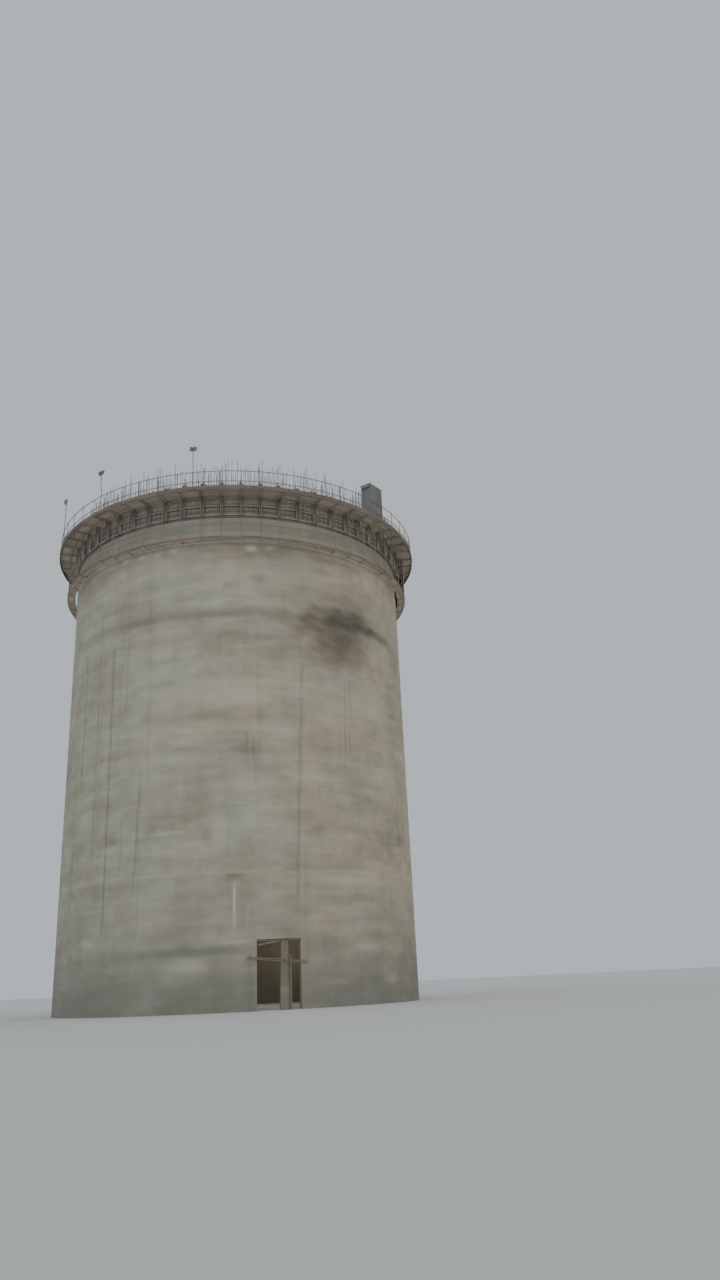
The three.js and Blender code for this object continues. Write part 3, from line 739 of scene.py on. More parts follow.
def wall_marks(deg, z, radius):
    """Soot, laitance, wet and rust marks for each place on the wall, with painted shade among the dark and
    wet marks and painted light among the pale ones.
    """
    dice = random.Random(31)
    bands, streaks, spots, pale = scattered_marks(dice, FAR_SIDE)
    _, near_streaks, near_spots, near_pale = scattered_marks(dice, NEAR_SIDE)
    dark = band_marks(DARK_BANDS + bands, deg, z, radius)
    dark += streak_marks(STREAKS + streaks + faded(near_streaks, 0.4), deg, z, radius)
    dark += spot_marks(DARK_SPOTS + spots + faded(near_spots, 0.6), deg, z, radius)
    light = band_marks(PALE_BANDS, deg, z, radius)
    light += streak_marks(PALE_STREAKS, deg, z, radius)
    # Painted light: pale patches just under the walkway, midway between lifting frames, where light falls
    # between its bearers
    bearer_gap_light = []
    for _ in range(40):
        middle = 6.0 * dice.randint(-30, 29) + 4.7
        bearer_gap_light.append((middle, *(dice.uniform(low, high) for low, high in BEARER_GAP_LIGHT_LIMITS)))
    light += spot_marks(PALE_SPOTS + pale + near_pale + bearer_gap_light, deg, z, radius)
    # The foot of the wall is wet, and the band just under the forms is painted shadow of the deck over wet
    # fresh concrete
    wet = spot_marks(DAMP_SPOTS, deg, z, radius) + 0.55 * fall_off(z, 3.2)
    wet += 0.30 * fall_off(z, 7.0) + 0.60 * fall_off(z - 32.3, 1.0)
    # The back has the front's rust once more
    behind = [(middle + 150, *spot) for middle, *spot in RUST_SPOTS]
    rusty = spot_marks(RUST_SPOTS + behind, deg, z, radius)
    return np.clip(np.stack([dark, light, wet, rusty], axis=1), 0.0, 1.0)


def wall_relief(deg, z):
    """How far the face lies inside its true radius: waves of single lifts, and a groove at a stopped pour."""
    dice = random.Random(7)
    mean, wave, groove, groove_height, deepest = 0.005, 0.0007, 0.003, 8.12, 0.02
    depth = np.full_like(z, mean)
    for _ in range(14):
        around, up = dice.randint(2, 26), dice.uniform(1.0, 11.0)
        depth += wave * np.sin(np.radians(deg) * around + z * up + dice.uniform(0, 6.3))
    depth += groove * fall_off(z - groove_height, 0.2)
    return np.clip(depth, 0.0, deepest)


# Pieces

class SiloPiece(Operator):
    """Makes pieces of the silo."""

    bl_options = {"REGISTER", "UNDO"}

    def execute(self, context):
        self.make(context.scene.silo_sizes)
        return {"FINISHED"}


class SILO_OT_shell(SiloPiece):
    """Make the concrete shell, in the panels that it is split into, with the doorway left open"""

    bl_idname = "silo.shell"
    bl_label = "Concrete shell"

    def make(self, sizes):
        half_door = math.degrees(math.asin(sizes.door_width / 2 / sizes.wall_radius))
        panel = (360.0 - 2 * half_door) / 8
        right = [half_door + panel * number for number in range(4)] + [180.0 - half_door]
        joints = right + [360.0 - deg for deg in reversed(right)]
        for number, limits in enumerate(zip(joints, joints[1:]), 1):
            self.make_panel(sizes, f"shell_panel_{number}", f"wall_panel_{number}", *limits, 0.0)
        self.make_panel(sizes, "shell_over_doorway", "wall_over_door", -half_door, half_door, sizes.door_head)

    def make_panel(self, sizes, name, node, start, end, foot):
        """A stretch of the wall, with its stains, painted light and shade, and the relief of its outer face.
        """
        outer, inner = sizes.wall_radius, sizes.wall_radius - sizes.wall_thickness
        row_height = 0.2
        rows = math.ceil((sizes.wall_top - foot) / row_height)
        heights = [foot + (sizes.wall_top - foot) * row / rows for row in range(rows + 1)]
        # The inner face has fewer rows, because it shows no relief
        inner_heights = heights[::17] + [sizes.wall_top]
        outline = [(outer, z) for z in heights] + [(inner, z) for z in reversed(inner_heights)]
        shape = new_shape()
        add_ring(shape, outline, start, end, step=0.6)
        mesh = add_piece(name, shape, "slip_formed_concrete", [node]).data
        places = np.empty(len(mesh.vertices) * 3, np.float32)
        mesh.vertices.foreach_get("co", places)
        places = places.reshape(-1, 3)
        deg = np.degrees(np.arctan2(places[:, 0], -places[:, 1])).astype(float)
        z = places[:, 2].astype(float)
        on_face = np.hypot(places[:, 0], places[:, 1]) > outer - 0.01
        pressed = np.where(on_face, (outer - wall_relief(deg, z)) / outer, 1.0)
        places[:, 0] *= pressed
        places[:, 1] *= pressed
        mesh.vertices.foreach_set("co", places.ravel())
        marks = wall_marks(np.where(on_face, deg, 180.0 - deg), z, outer).astype(np.float32)
        layer = mesh.attributes.new("marks", "FLOAT_COLOR", "POINT")
        layer.data.foreach_set("color", marks.ravel())
        mesh.update()


class SILO_OT_forms(SiloPiece):
    """Make the climbing forms: steel sheets with ribs and level stiffeners, one on each face of the wall"""

    bl_idname = "silo.forms"
    bl_label = "Climbing forms"

    def make(self, sizes):
        bottom, top = sizes.form_bottom, sizes.form_top
        thick, rib_pitch = 0.008, 1.5
        stiffeners = (bottom, bottom + 0.50, bottom + 1.02, top - thick)
        for side, (face, away) in wall_faces(sizes).items():
            near = face + away * 0.001
            sheet = near + away * 0.006
            back = near + away * (sizes.form_depth - 0.003)
            for half, frames in HALVES.items():
                start, end = ring_limits(sizes, frames)
                shape = new_shape()
                add_band(shape, near, sheet, bottom, top, start, end)
                for z in stiffeners:
                    add_band(shape, sheet, back, z, z + thick, start, end)
                low, high = sorted((sheet, back))
                rib = add_block(shape, (low, -thick / 2, bottom + thick), (high, thick / 2, top - thick))
                repeat_round(shape, rib, start + rib_pitch / 2, rib_pitch, round((end - start) / rib_pitch))
                add_piece(f"{side}_form_sheets_{half}", shape, "cement_dusted_and_shaded_form_steel",
                          [f"{side}_form_{half}"])


class SILO_OT_lifting_frames(SiloPiece):
    """Make the lifting frames with their jacks and jack rods, and the ring beams that their legs hold"""

    bl_idname = "silo.lifting_frames"
    bl_label = "Lifting frames"

    def make(self, sizes):
        for quarter, frames in QUARTERS.items():
            first, last = frames
            shape = new_shape()
            self.add_ring_beams(shape, sizes, *ring_limits(sizes, frames))
            verts = self.add_frame(shape, sizes)
            repeat_round(shape, verts, frame_deg(sizes, first), frame_step(sizes), last - first + 1)
            add_piece(f"lifting_frames_{quarter}", shape, "worn_and_face_shaded_frame_paint",
                      [f"yokes_{quarter}"])

    def add_ring_beams(self, shape, sizes, start, end):
        """An upper and a lower channel on each side, with their flanges towards the legs."""
        web_thick, flange = 0.009, 0.012
        # Bottom, top and depth
        upper, lower = (33.70, 33.90, sizes.waler_depth - 0.002), (33.00, 33.14, 0.085)
        for face, away in wall_faces(sizes).values():
            near = face + away * (sizes.form_depth + 0.001)
            web = near + away * web_thick
            for bottom, top, depth in (upper, lower):
                tip = near + away * depth
                channel = [
                    (near, bottom), (tip, bottom), (tip, bottom + flange), (web, bottom + flange),
                    (web, top - flange), (tip, top - flange), (tip, top), (near, top),
                ]
                add_ring(shape, channel, start, end, step=2.0)

    def add_frame(self, shape, sizes):
        """Two legs of paired channels, a crossbeam that grips them, corner plates, and a jack on its rod."""
        middle = sizes.wall_radius - sizes.wall_thickness / 2
        reach = sizes.wall_thickness / 2 + sizes.form_depth + sizes.waler_depth + sizes.leg_depth
        inner_back, outer_back = middle - reach, middle + reach
        leg_size = sizes.leg_depth + 0.06
        foot, top = sizes.frame_foot, sizes.frame_top
        beam_bottom, collar = top - 0.2, sizes.deck_top - 0.05
        half_leg, half_frame = 0.084, 0.09
        verts = []
        for low in (inner_back, outer_back - leg_size):
            high = low + leg_size
            for side in (1.0, -1.0):
                leg = self.channel(low, high, 0.012, half_leg, side)
                verts += add_prism(shape, [(x, y, foot) for x, y in leg], (0, 0, top - foot))
            verts += add_block(shape, (low, -half_leg, foot), (high, half_leg, foot + 0.02))
            verts += add_block(shape, (low, -half_frame, collar), (high, half_frame, collar + 0.04))
        for side in (1.0, -1.0):
            beam = self.channel(beam_bottom, top, 0.055, half_frame, side)
            verts += add_prism(shape, [(inner_back, y, z) for z, y in beam], (2 * reach, 0, 0))
        for corner, inwards in ((outer_back - leg_size, -0.22), (inner_back + leg_size, 0.22)):
            plate = ((corner, beam_bottom), (corner + inwards, beam_bottom), (corner, beam_bottom - 0.25))
            verts += add_prism(shape, [(x, -0.005, z) for x, z in plate], (0, 0.01, 0))
        # The jack's base plate, its cross head, its body in two widths, and the rod that it climbs
        verts += add_block(shape, (middle - 0.13, -half_frame, top), (middle + 0.13, half_frame, top + 0.03))
        verts += add_block(shape, (middle - 0.05, -0.19, top + 0.04), (middle + 0.05, 0.19, top + 0.2))
        jack = (
            (top + 0.03, top + 0.28, 0.088, 12), (top + 0.28, top + 0.40, 0.062, 10),
            (sizes.wall_top - 0.05, sizes.rod_top, 0.022, 6),
        )
        for low, high, radius, sides in jack:
            verts += add_bar(shape, (middle, 0, low), (middle, 0, high), radius, sides)
        return verts

    def channel(self, low, high, web, tip, side):
        """The section of a rolled channel whose flanges point sideways."""
        thick = 0.009
        points = [
            (low, web), (high, web), (high, tip), (high - thick, tip),
            (high - thick, web + thick), (low + thick, web + thick), (low + thick, tip), (low, tip),
        ]
        return [(x, y * side) for x, y in points]


class SILO_OT_reinforcement(SiloPiece):
    """Make the reinforcing bars that stand up out of the fresh wall between the forms"""

    bl_idname = "silo.reinforcement"
    bl_label = "Reinforcing bars"

    # Heights of the bars' tops and of the hoops, and the bars' distance from the wall's faces
    TOPS = (35.7, 35.9, 36.1, 36.3, 36.5, 36.7, 36.9, 37.0, 37.2, 37.65)
    HOOPS = (34.15, 34.45, 34.75, 35.05, 35.35)
    COVER = 0.07

    def make(self, sizes):
        dice = random.Random(11)
        for layer, (face, away) in wall_faces(sizes).items():
            radius = face - away * self.COVER
            hoop = radius + away * 0.018
            shape = new_shape()
            count = round(2 * math.pi * radius / sizes.bar_spacing)
            for number in range(count):
                turn = outward(360.0 * (number + dice.uniform(-0.2, 0.2)) / count)
                tall = dice.choice(self.TOPS) + dice.uniform(-0.15, 0.08)
                lean = dice.uniform(-0.03, 0.03)
                foot = turn @ Vector((radius, 0, sizes.wall_top - 0.02))
                head = turn @ Vector((radius + dice.uniform(-0.02, 0.02), lean, tall))
                add_bar(shape, foot, head, 0.015, 4)
            for z in self.HOOPS:
                add_band(shape, hoop - 0.007, hoop + 0.007, z, z + 0.014, 0.0, 360.0, step=3.0)
            add_piece(f"{layer}_wall_bars", shape, "rusty_ribbed_bar")


class SILO_OT_decks(SiloPiece):
    """Make the working decks: joists behind the lifting frames, planks on them, and deep edge boards"""

    bl_idname = "silo.decks"
    bl_label = "Decks"

    # Rows of boards on edge, the upper one as a toe board: how far their middle lies under the deck's
    # top, how tall they are, and how thick both are
    EDGE_ROWS = {"upper": (0.027, 0.20), "lower": (0.195, 0.126)}
    EDGE_THICK = 0.046

    # A joist's width and depth
    JOIST = (0.058, 0.142)

    def make(self, sizes):
        for side, (face, away) in wall_faces(sizes).items():
            edge = face + away * sizes.deck_width
            span, _ = chord(sizes, edge)
            _, across = chord(sizes, edge - away * 0.026)
            for half, frames in HALVES.items():
                dice = random.Random(f"{side} {half}")
                planks = new_shape()
                self.add_planks(planks, sizes, frames, face, edge, away, dice)
                add_piece(f"{side}_deck_planks_{half}", planks, "dusted_deck_timber",
                          [f"{side}_deck_{half}"])
                for row, (fall, tall) in self.EDGE_ROWS.items():
                    middle = sizes.deck_top - fall
                    boards = new_shape()
                    board, heights = (span - 0.01, self.EDGE_THICK, tall), (middle - 0.003, middle)
                    add_edge_boards(boards, sizes, frames, across, board, heights, dice)
                    add_piece(f"{side}_deck_{row}_edge_{half}", boards, "brown_board_timber")

    def add_planks(self, shape, sizes, frames, face, edge, away, dice):
        """Joists at the frames, six rows of planks on them, two rows that fill in between the legs, and a
        strip that closes the gap down to the form."""
        form_back = face + away * (sizes.form_depth + 0.002)
        near = form_back + away * (sizes.waler_depth + sizes.leg_depth)
        leg_face = near - away * 0.205
        tip = edge - away * 0.052
        reach, middle, top = abs(tip - near), (near + tip) / 2, sizes.deck_top
        rows = 6
        pitch = reach / rows
        half_step = frame_step(sizes) / 2
        for deg in frame_degs(sizes, frames)[:-1]:
            for side in (-0.058, 0.058):
                place = outward(deg) @ Matrix.Translation((middle, side, top - 0.118))
                add_board(shape, reach, *self.JOIST, place, dice)
            deg += half_step
            for row in range(rows):
                span, across = chord(sizes, near + away * pitch * (row + 0.5))
                z = top - PLANK_DROP - dice.uniform(0.0, 0.005)
                place = board_place(deg, across, z, dice.uniform(-0.004, 0.004), dice.uniform(-0.15, 0.15))
                add_board(shape, span - 0.006, pitch - dice.uniform(0.008, 0.016), PLANK, place, dice)
            for first, last, clear in ((form_back, leg_face, -0.004), (leg_face, near, 0.19)):
                span, across = chord(sizes, (first + last) / 2)
                place = board_place(deg, across, top - 0.026)
                add_board(shape, span - clear, abs(last - first) - 0.006, PLANK, place, dice)
            _, across = chord(sizes, form_back + away * 0.02)
            span, _ = chord(sizes, across)
            add_board(shape, span + 0.004, 0.03, 0.14, board_place(deg, across, top - 0.121), dice)


class SILO_OT_guard_rails(SiloPiece):
    """Make the guard rails on the free edges of both decks, with posts, a top rail and a middle rail"""

    bl_idname = "silo.guard_rails"
    bl_label = "Guard rails"

    def make(self, sizes):
        floor, top = sizes.deck_top, sizes.rail_top - 0.025
        rails = (top, top - 0.80)
        setback, rail_tube, foot_plate, coupler = 0.11, 0.027, 0.05, 0.034
        for side, (face, away) in wall_faces(sizes).items():
            radius = face + away * (sizes.deck_width - setback)
            for half, frames in HALVES.items():
                degs = frame_degs(sizes, frames, POST_STRIDE[side])
                shape = new_shape()
                for z in rails:
                    add_rail_run(shape, degs, radius, z, rail_tube)
                for deg in degs[:-1]:
                    verts = add_bar(shape, (radius, 0, floor), (radius, 0, top), TUBE, 8)
                    verts += add_pad(shape, radius, foot_plate, floor, floor + 0.012)
                    for z in rails:
                        verts += add_pad(shape, radius, coupler, z - coupler, z + 0.022)
                    bmesh.ops.transform(shape, matrix=outward(deg), verts=verts)
                add_piece(f"{side}_rail_tubes_{half}", shape, "zinc_coated_tube",
                          [f"{side}_guard_rail_{half}"])


class SILO_OT_hanging_scaffolds(SiloPiece):
    """Make the hanging scaffolds under both decks: planks on bearers, edge boards, hangers and rails"""

    bl_idname = "silo.hanging_scaffolds"
    bl_label = "Hanging scaffolds"

    # Thickness and height of a board on edge, and width and depth of a bearer
    EDGE_BOARD = (0.025, 0.16)
    BEARER = (0.08, 0.09)

    # How far the hangers stand in from the free edge, and the rods out from the edge at the wall
    HANGER_SETBACK, ROD_SETBACK = 0.042, 0.05

    def make(self, sizes):
        top = sizes.walkway_top
        for side, (face, away) in wall_faces(sizes).items():
            near = face + away * sizes.walkway_gap
            far = near + away * sizes.walkway_width
            span, across = chord(sizes, far + away * 0.015)
            for half, frames in HALVES.items():
                dice = random.Random(f"walkway {side} {half}")
                planks, edge = new_shape(), new_shape()
                self.add_planks(planks, sizes, frames, near, away, dice)
                # They close the planks' free edge and stand up as a toe board
                board = (span - 0.008, *self.EDGE_BOARD)
                add_edge_boards(edge, sizes, frames, across, board, (top, top - 0.006), dice)
                add_piece(f"{side}_walkway_planks_{half}", planks, "dusted_deck_timber",
                          [f"{side}_walkway_{half}"])
                add_piece(f"{side}_walkway_edge_{half}", edge, "brown_board_timber")
            for length, frames in (QUARTERS if side == "outer" else HALVES).items():
                tubes = new_shape()
                degs = frame_degs(sizes, frames, POST_STRIDE[side])
                rod, hanger = near + away * self.ROD_SETBACK, far - away * self.HANGER_SETBACK
                self.add_tubes(tubes, sizes, degs, rod, hanger)
                add_piece(f"{side}_hanger_tubes_{length}", tubes, "zinc_coated_tube",
                          [f"{side}_hangers_{length}"])

    def add_planks(self, shape, sizes, frames, near, away, dice):
        """Three rows of planks from frame to frame, on a bearer at each frame."""
        rows = 3
        width, top = sizes.walkway_width, sizes.walkway_top
        pitch = width / rows
        for deg in frame_degs(sizes, frames)[:-1]:
            for row in range(rows):
                span, across = chord(sizes, near + away * pitch * (row + 0.5))
                z = top - PLANK_DROP - dice.uniform(0, 0.004)
                place = board_place(deg + frame_step(sizes) / 2, across, z, turn=dice.uniform(-0.3, 0.3))
                add_board(shape, span + 0.02, pitch - 0.012, PLANK, place, dice)
            bearer = outward(deg) @ Matrix.Translation((near + away * width / 2, 0, top - 0.093))
            add_board(shape, width - 0.01, *self.BEARER, bearer, dice)

    def add_tubes(self, shape, sizes, degs, rod, hanger):
        """A hanger at the free edge and a thin rod at the wall for each frame, a hand rail and a wire."""
        floor = sizes.walkway_top
        low, rail, wire = floor - 0.1, floor + 1.02, floor + 0.50
        for deg in degs[:-1]:
            verts = add_bar(shape, (hanger, 0, low), (hanger, 0, sizes.deck_top - 0.06), TUBE, 8)
            verts += add_bar(shape, (rod, 0, low), (rod, 0, sizes.form_bottom + 0.1), 0.010, 6)
            verts += add_pad(shape, hanger, 0.03, rail - 0.03, rail + 0.03)
            bmesh.ops.transform(shape, matrix=outward(deg), verts=verts)
        add_rail_run(shape, degs, hanger, rail, 0.020)
        add_rail_run(shape, degs, hanger, wire, 0.008)


class SILO_OT_boarding(SiloPiece):
    """Make the upright boards that close the hanging scaffold over one stretch"""

    bl_idname = "silo.boarding"
    bl_label = "Scaffold boarding"

    # Directions of its two ends, how many boards it has, the radius they stand at, and their tops' height
    FIRST, LAST, COUNT = 66.0, 90.0, 38
    RADIUS, TOP = 13.7735, 34.32

    def make(self, sizes):
        dice = random.Random(23)
        shape = new_shape()
        stretch = self.LAST - self.FIRST
        pitch = math.radians(stretch) * self.RADIUS / self.COUNT
        for number in range(self.COUNT):
            deg = self.FIRST + stretch * (number + 0.5) / self.COUNT
            bottom = sizes.walkway_top + 0.085 + dice.uniform(0.0, 0.06)
            top = self.TOP - dice.choice((0.0, 0.02, 0.05, 0.22))
            upright = Matrix.Translation((self.RADIUS, 0, (bottom + top) / 2)) @ ON_END
            add_board(shape, top - bottom, pitch - 0.008, 0.024, outward(deg) @ upright, dice)
        add_piece("scaffold_boards", shape, "tan_board_timber", ["scaffold_boarding"])


class SILO_OT_masts(SiloPiece):
    """Make the floodlight masts on the outer deck"""

    bl_idname = "silo.masts"
    bl_label = "Floodlight masts"

    # Direction and height of the top of each, how far its pole is bent, and the radius that they stand at
    MASTS = ((-86.0, 39.10, 0.015), (-56.0, 38.12, 0.11), (-24.0, 38.02, 0.015))
    RADIUS = 14.39

    def make(self, sizes):
        radius, floor = self.RADIUS, sizes.deck_top
        for number, (deg, top, knee) in enumerate(self.MASTS, 1):
            shape = new_shape()
            verts = add_block(shape, (radius - 0.13, -0.12, floor), (radius + 0.07, 0.12, floor + 0.014))
            for y in (-0.1, 0.1):
                for x in (-0.11, 0.05):
                    bolt = radius + x
                    verts += add_bar(shape, (bolt, y, floor + 0.01), (bolt, y, floor + 0.05), 0.012)
            tall = top - floor
            bends = ((0.0, floor + 0.01), (knee, floor + tall * 0.45), (-knee * 0.3, floor + tall * 0.7),
                     (0.0, top - 0.22))
            for start, end in zip(bends, bends[1:]):
                verts += add_bar(shape, (radius, *start), (radius, *end), 0.03, 10)
            verts += add_bar(shape, (radius, -0.24, top - 0.40), (radius, 0.24, top - 0.40), 0.018, 8)
            bmesh.ops.transform(shape, matrix=outward(deg), verts=verts)
            add_piece(f"mast_pole_{number}", shape, "zinc_coated_tube",
                      [f"floodlight_mast_{number}"])
            self.make_lamps(number, deg, top)

    def make_lamps(self, number, deg, top):
        """Two square floodlights side by side in stirrups, tipped down towards the work."""
        radius = self.RADIUS
        tipped = Matrix.Rotation(math.radians(-115.0), 4, "Y")
        housing, glass = new_shape(), new_shape()
        for side in (-0.131, 0.131):
            place = outward(deg) @ Matrix.Translation((radius, side, top - 0.235)) @ tipped
            back = add_block(housing, (-0.155, -0.11, -0.14), (0.155, 0.11, 0.0))
            narrow = [vert for vert in back if vert.co.z < -0.1]
            bmesh.ops.scale(housing, vec=(0.55, 0.6, 1.0), verts=narrow)
            verts = back + add_block(housing, (-0.165, -0.12, 0.0), (0.165, 0.12, 0.04))
            verts += add_block(housing, (-0.07, -0.05, -0.165), (0.05, 0.05, -0.139))
            bmesh.ops.transform(housing, matrix=place, verts=verts)
            pane = add_block(glass, (-0.15, -0.105, 0.039), (0.15, 0.105, 0.046))
            bmesh.ops.transform(glass, matrix=place, verts=pane)
            straps = []
            for y in (side - 0.125, side + 0.119):
                low, high = (radius - 0.02, y, top - 0.42), (radius + 0.02, y + 0.006, top - 0.20)
                straps += add_block(housing, low, high)
            bmesh.ops.transform(housing, matrix=outward(deg), verts=straps)
        add_piece(f"lamp_housing_{number}", housing, "grey_cabin_paint")
        add_piece(f"lamp_pane_{number}", glass, "lamp_glass")


class SILO_OT_cabin(SiloPiece):
    """Make the cabin on the outer deck: ribbed sheets on a frame, a flat roof and a small hood"""

    bl_idname = "silo.cabin"
    bl_label = "Deck cabin"

    # Direction from the doorway, half the width, the front and back before it is turned there, and height
    HEADING = 36.1
    HALF, FRONT, BACK, TALL = 0.70, -14.37, -13.43, 2.8

    def make(self, sizes):
        turn = Matrix.Rotation(math.radians(self.HEADING), 4, "Z")
        half, front, back = self.HALF, self.FRONT, self.BACK
        floor, top = sizes.deck_top, sizes.deck_top + self.TALL
        walls = new_shape()
        post, inset = 0.05, 0.02
        right, near, far = half - inset, front + inset, back - inset
        sheets = (
            ((-right, near), (right, near), (0, -1)), ((-right, far), (right, far), (0, 1)),
            ((-right, near), (-right, far), (-1, 0)), ((right, near), (right, far), (1, 0)),
        )
        for start, end, away in sheets:
            self.add_ribbed_sheet(walls, Vector(start), Vector(end), Vector(away), floor, top)
        for x in (-half, half - post):
            for y in (front, back - post):
                add_block(walls, (x, y, floor), (x + post, y + post, top))
        for z in (floor, top - 0.06):
            add_block(walls, (-half + 0.03, front + 0.03, z), (half - 0.03, back - 0.03, z + 0.05))
        bmesh.ops.transform(walls, matrix=turn, verts=walls.verts)
        add_piece("cabin_walls", walls, "grey_cabin_paint", ["cabin_body"])
        roof = new_shape()
        ribs = 14
        for number in range(ribs):
            y = front + (back - front) * (number + 0.5) / ribs
            wide, lift = ((0.02, 0.034), (0.034, 0.055))[number % 2]
            add_block(roof, (-half - 0.09, y - wide, top + 0.002), (half + 0.09, y + wide, top + lift))
        hood = ((-0.085, -0.22), (0.02, 0.03), (0.30, 0.03), (0.30, 0.06), (-0.085, 0.06))
        add_prism(roof, [(x - half, front + 0.05, top + z) for x, z in hood], (0, 0.8, 0))
        bmesh.ops.transform(roof, matrix=turn, verts=roof.verts)
        add_piece("cabin_roof_sheets", roof, "grey_cabin_paint", ["cabin_roof"])

    def add_ribbed_sheet(self, shape, start, end, away, floor, top):
        """A sheet with an upright rib every 100 mm."""
        waves = round((end - start).length / 0.1)
        pitch = (end - start) / waves
        outline = []
        for wave in range(waves):
            for share, out in ((0.0, 0.0), (0.45, 0.0), (0.55, 0.018), (0.9, 0.018)):
                outline.append(start + pitch * (wave + share) + away * out)
        outline += [end, end - away * 0.012, start - away * 0.012]
        add_prism(shape, [(*point, floor + 0.002) for point in outline], (0, 0, top - floor - 0.004))


class SILO_OT_doorway(SiloPiece):
    """Make what stands in and round the doorway: pier, head boards, crossbar, upright and prop"""

    bl_idname = "silo.doorway"
    bl_label = "Doorway pieces"

    # Middle of the upright and of the prop, which stand just outside the wall
    STAND_Y = -13.0505

    def make(self, sizes):
        dice = random.Random(5)
        face = -sizes.wall_radius
        head = sizes.door_head - 0.11
        self.make_pier(face, head, dice)
        boards = new_shape()
        jamb = sizes.door_width / 2 - 0.045
        beam = Matrix.Translation((0, face + 0.16, sizes.door_head - 0.056))
        add_board(boards, 2 * jamb, 0.058, 0.108, beam, dice)
        lean = math.atan2(0.23, jamb + 0.08)
        slanted = Matrix.Translation((-0.63, face + 0.155, head - 0.105)) @ Matrix.Rotation(-lean, 4, "Y")
        add_board(boards, 1.36, 0.04, 0.10, slanted, dice)
        add_piece("doorway_head_timbers", boards, "brown_board_timber",
                  ["doorway_head_boards"])
        self.make_crossbar(face - 0.004)
        self.make_upright()
        prop = new_shape()
        place = Matrix.Translation((0.69, self.STAND_Y, 1.56)) @ ON_END
        add_board(prop, 3.12, 0.058, 0.098, place, dice)
        add_piece("doorway_timber_prop", prop, "yellow_prop_timber", ["doorway_prop"])

    def make_pier(self, face, head, dice):
        """The cast pier that divides the doorway, wider at its foot, with rounded edges and uneven faces."""
        pier = new_shape()
        outline = ((0.04, 0.0), (0.70, 0.0), (0.56, head), (0.12, head))
        add_prism(pier, [(x, face + 0.03, z) for x, z in outline], (0, 0.3, 0))
        bmesh.ops.bevel(
            pier, geom=self.uprights(pier), offset=0.02, offset_type="OFFSET", affect="EDGES", segments=2,
            profile=0.5, material=-1,
        )
        cuts = bmesh.ops.subdivide_edges(pier, edges=self.uprights(pier), cuts=18, use_grid_fill=True)
        for item in cuts["geom_inner"]:
            if isinstance(item, bmesh.types.BMVert):
                item.co.y += dice.uniform(0.0, 0.006)
        mesh = add_piece("doorway_pier_cast", pier, "slip_formed_concrete", ["doorway_pier"]).data
        layer = mesh.attributes.new("marks", "FLOAT_COLOR", "POINT")
        layer.data.foreach_set("color", [0.62, 0.0, 0.2, 0.0] * len(mesh.vertices))

    def uprights(self, shape):
        """The edges that run from the foot to the head."""
        return [edge for edge in shape.edges if abs(edge.verts[0].co.z - edge.verts[1].co.z) > 1.0]

    def make_crossbar(self, front):
        """Two tubes side by side that fall towards +X, held together by clips."""
        low, high, fall = -2.0, 1.8, 0.35
        bar = new_shape()
        for z in (2.985, 3.085):
            add_bar(bar, (low, front, z), (high, front, z - fall), TUBE, 12)
        for x in (-1.95, -1.38, 0.1, 0.5, 1.38, 1.75):
            drop = fall * (x - low) / (high - low)
            add_block(bar, (x - 0.03, front - 0.016, 2.958 - drop), (x + 0.03, front + 0.03, 3.112 - drop))
        add_piece("doorway_ledger_tubes", bar, "zinc_coated_tube", ["doorway_crossbar"])

    def make_upright(self):
        """A scaffold tube on a foot plate, with a collar at each tube of the crossbar."""
        upright = new_shape()
        x, y = -1.85, self.STAND_Y
        add_bar(upright, (x, y, 0.0), (x, y, 3.3), TUBE, 12)
        add_block(upright, (x - 0.04, y - 0.03, 0.0), (x + 0.04, y + 0.03, 0.008))
        for z in (2.97, 3.07):
            add_bar(upright, (x, y, z - 0.03), (x, y, z + 0.03), 0.03, 10)
        add_piece("doorway_upright_tube", upright, "zinc_coated_tube", ["doorway_standard"])


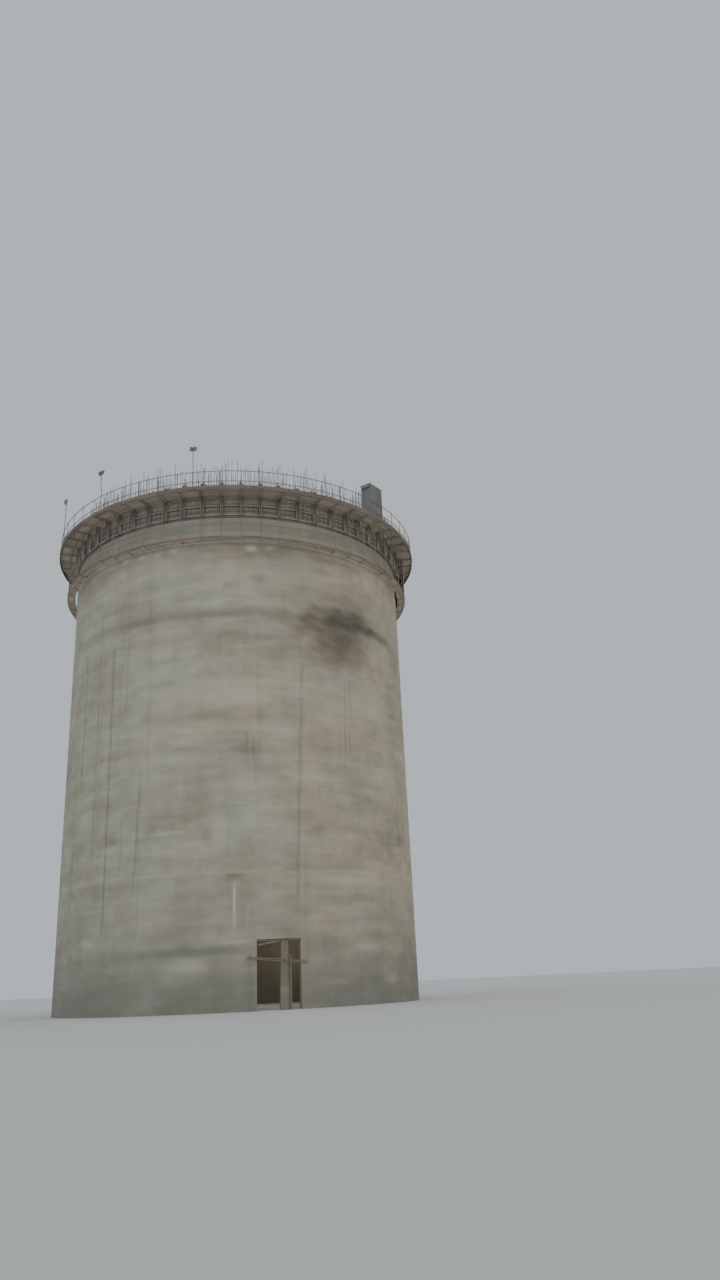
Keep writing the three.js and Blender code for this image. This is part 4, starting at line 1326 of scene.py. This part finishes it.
class SILO_OT_stage(SiloPiece):
    """Make the pale floor, the soft light and the camera"""

    bl_idname = "silo.stage"
    bl_label = "Studio stage"

    # Low soft keys from three sides, so that the round wall and the forms under the deck are lit evenly:
    # heading and power of each
    KEYS = {"soft_key_left": (-50.0, 0.40), "soft_key_front": (-10.65, 0.42), "soft_key_right": (38.0, 0.36)}

    def make(self, sizes):
        scene = bpy.context.scene
        finish = scene.silo_finish
        ground = bmesh.new()
        bmesh.ops.create_grid(ground, x_segments=2, y_segments=2, size=700.0)
        bmesh.ops.translate(ground, vec=(0, 0, -0.004), verts=ground.verts)
        mesh = bpy.data.meshes.new("studio_floor")
        ground.to_mesh(mesh)
        ground.free()
        material, tree, shader = start_material("studio_floor")
        set_inputs(tree, shader, {"Base Color": full(finish.floor), "Roughness": 0.9})
        mesh.materials.append(material)
        floor = add_object("studio_floor", mesh)
        world = bpy.data.worlds.new("studio_surround")
        world.use_nodes = True
        background = world.node_tree.nodes["Background"]
        background.inputs["Color"].default_value = full(finish.backdrop)
        background.inputs["Strength"].default_value = 1.12
        scene.world = world
        raised = Matrix.Rotation(math.radians(81.0), 4, "X")
        for name, (heading, power) in self.KEYS.items():
            sun = bpy.data.lights.new(name, "SUN")
            sun.energy = power
            sun.angle = math.radians(30.0)
            sun.color = (1.0, 0.97, 0.93)
            add_object(name, sun).matrix_world = Matrix.Rotation(math.radians(heading), 4, "Z") @ raised
        lamp = bpy.data.lights.new("soft_inside", "POINT")
        lamp.energy = 850.0
        lamp.color = (1.0, 0.92, 0.80)
        lamp.shadow_soft_size = 4.0
        add_object("soft_inside", lamp).location = (0, 0, 10)
        self.make_camera(scene)

    def make_camera(self, scene):
        """A telephone's lens, tipped up from 74 m away, 1.4 m above the ground."""
        camera = bpy.data.cameras.new("viewpoint")
        camera.sensor_width = 36.0
        camera.lens = 26.466
        camera.clip_end = 2000.0
        # Where it stands, seen from the silo's middle, and how far past that middle it looks
        stand, aside = 10.65, 7.74
        distance, eye, tilt, roll = 73.57, 1.40, 19.93, -0.0459
        place = Matrix.Rotation(-math.radians(stand), 4, "Z") @ Matrix.Translation((0, -distance, eye))
        turn = Matrix.Rotation(-math.radians(aside), 4, "Z")
        raised = Matrix.Rotation(math.radians(90.0 + tilt), 4, "X")
        viewpoint = add_object("viewpoint", camera)
        viewpoint.matrix_world = place @ turn @ raised @ Matrix.Rotation(roll, 4, "Z")
        scene.camera = viewpoint


OPERATORS = (
    SILO_OT_stage, SILO_OT_shell, SILO_OT_forms, SILO_OT_lifting_frames, SILO_OT_reinforcement, SILO_OT_decks,
    SILO_OT_guard_rails, SILO_OT_hanging_scaffolds, SILO_OT_boarding, SILO_OT_masts, SILO_OT_cabin,
    SILO_OT_doorway,
)


class SILO_PT_sidebar(Panel):
    """Lists the silo's pieces, sizes and colours"""

    bl_idname = "SILO_PT_sidebar"
    bl_label = "Concrete silo"
    bl_space_type = "VIEW_3D"
    bl_region_type = "UI"
    bl_category = "Silo"

    def draw(self, context):
        pieces = self.layout.column(align=True)
        for operator in OPERATORS:
            pieces.operator(operator.bl_idname)
        for title, group in (("Sizes", context.scene.silo_sizes), ("Colours", context.scene.silo_finish)):
            column = self.layout.column(align=True)
            column.label(text=title)
            for name in group.bl_rna.properties.keys():
                if name not in {"rna_type", "name"}:
                    column.prop(group, name)


CLASSES = (SiloSizes, SiloFinish, *OPERATORS, SILO_PT_sidebar)


def register():
    """Adds the properties, the operators and the panel to Blender."""
    for item in CLASSES:
        bpy.utils.register_class(item)
    bpy.types.Scene.silo_sizes = PointerProperty(type=SiloSizes)
    bpy.types.Scene.silo_finish = PointerProperty(type=SiloFinish)


def unregister():
    """Takes them out again."""
    del bpy.types.Scene.silo_finish
    del bpy.types.Scene.silo_sizes
    for item in reversed(CLASSES):
        bpy.utils.unregister_class(item)


def main():
    """Makes the whole silo."""
    register()
    bpy.ops.silo.stage()
    bpy.ops.silo.shell()
    bpy.ops.silo.forms()
    bpy.ops.silo.lifting_frames()
    bpy.ops.silo.reinforcement()
    bpy.ops.silo.decks()
    bpy.ops.silo.guard_rails()
    bpy.ops.silo.hanging_scaffolds()
    bpy.ops.silo.boarding()
    bpy.ops.silo.masts()
    bpy.ops.silo.cabin()
    bpy.ops.silo.doorway()


if __name__ == "__main__":
    main()
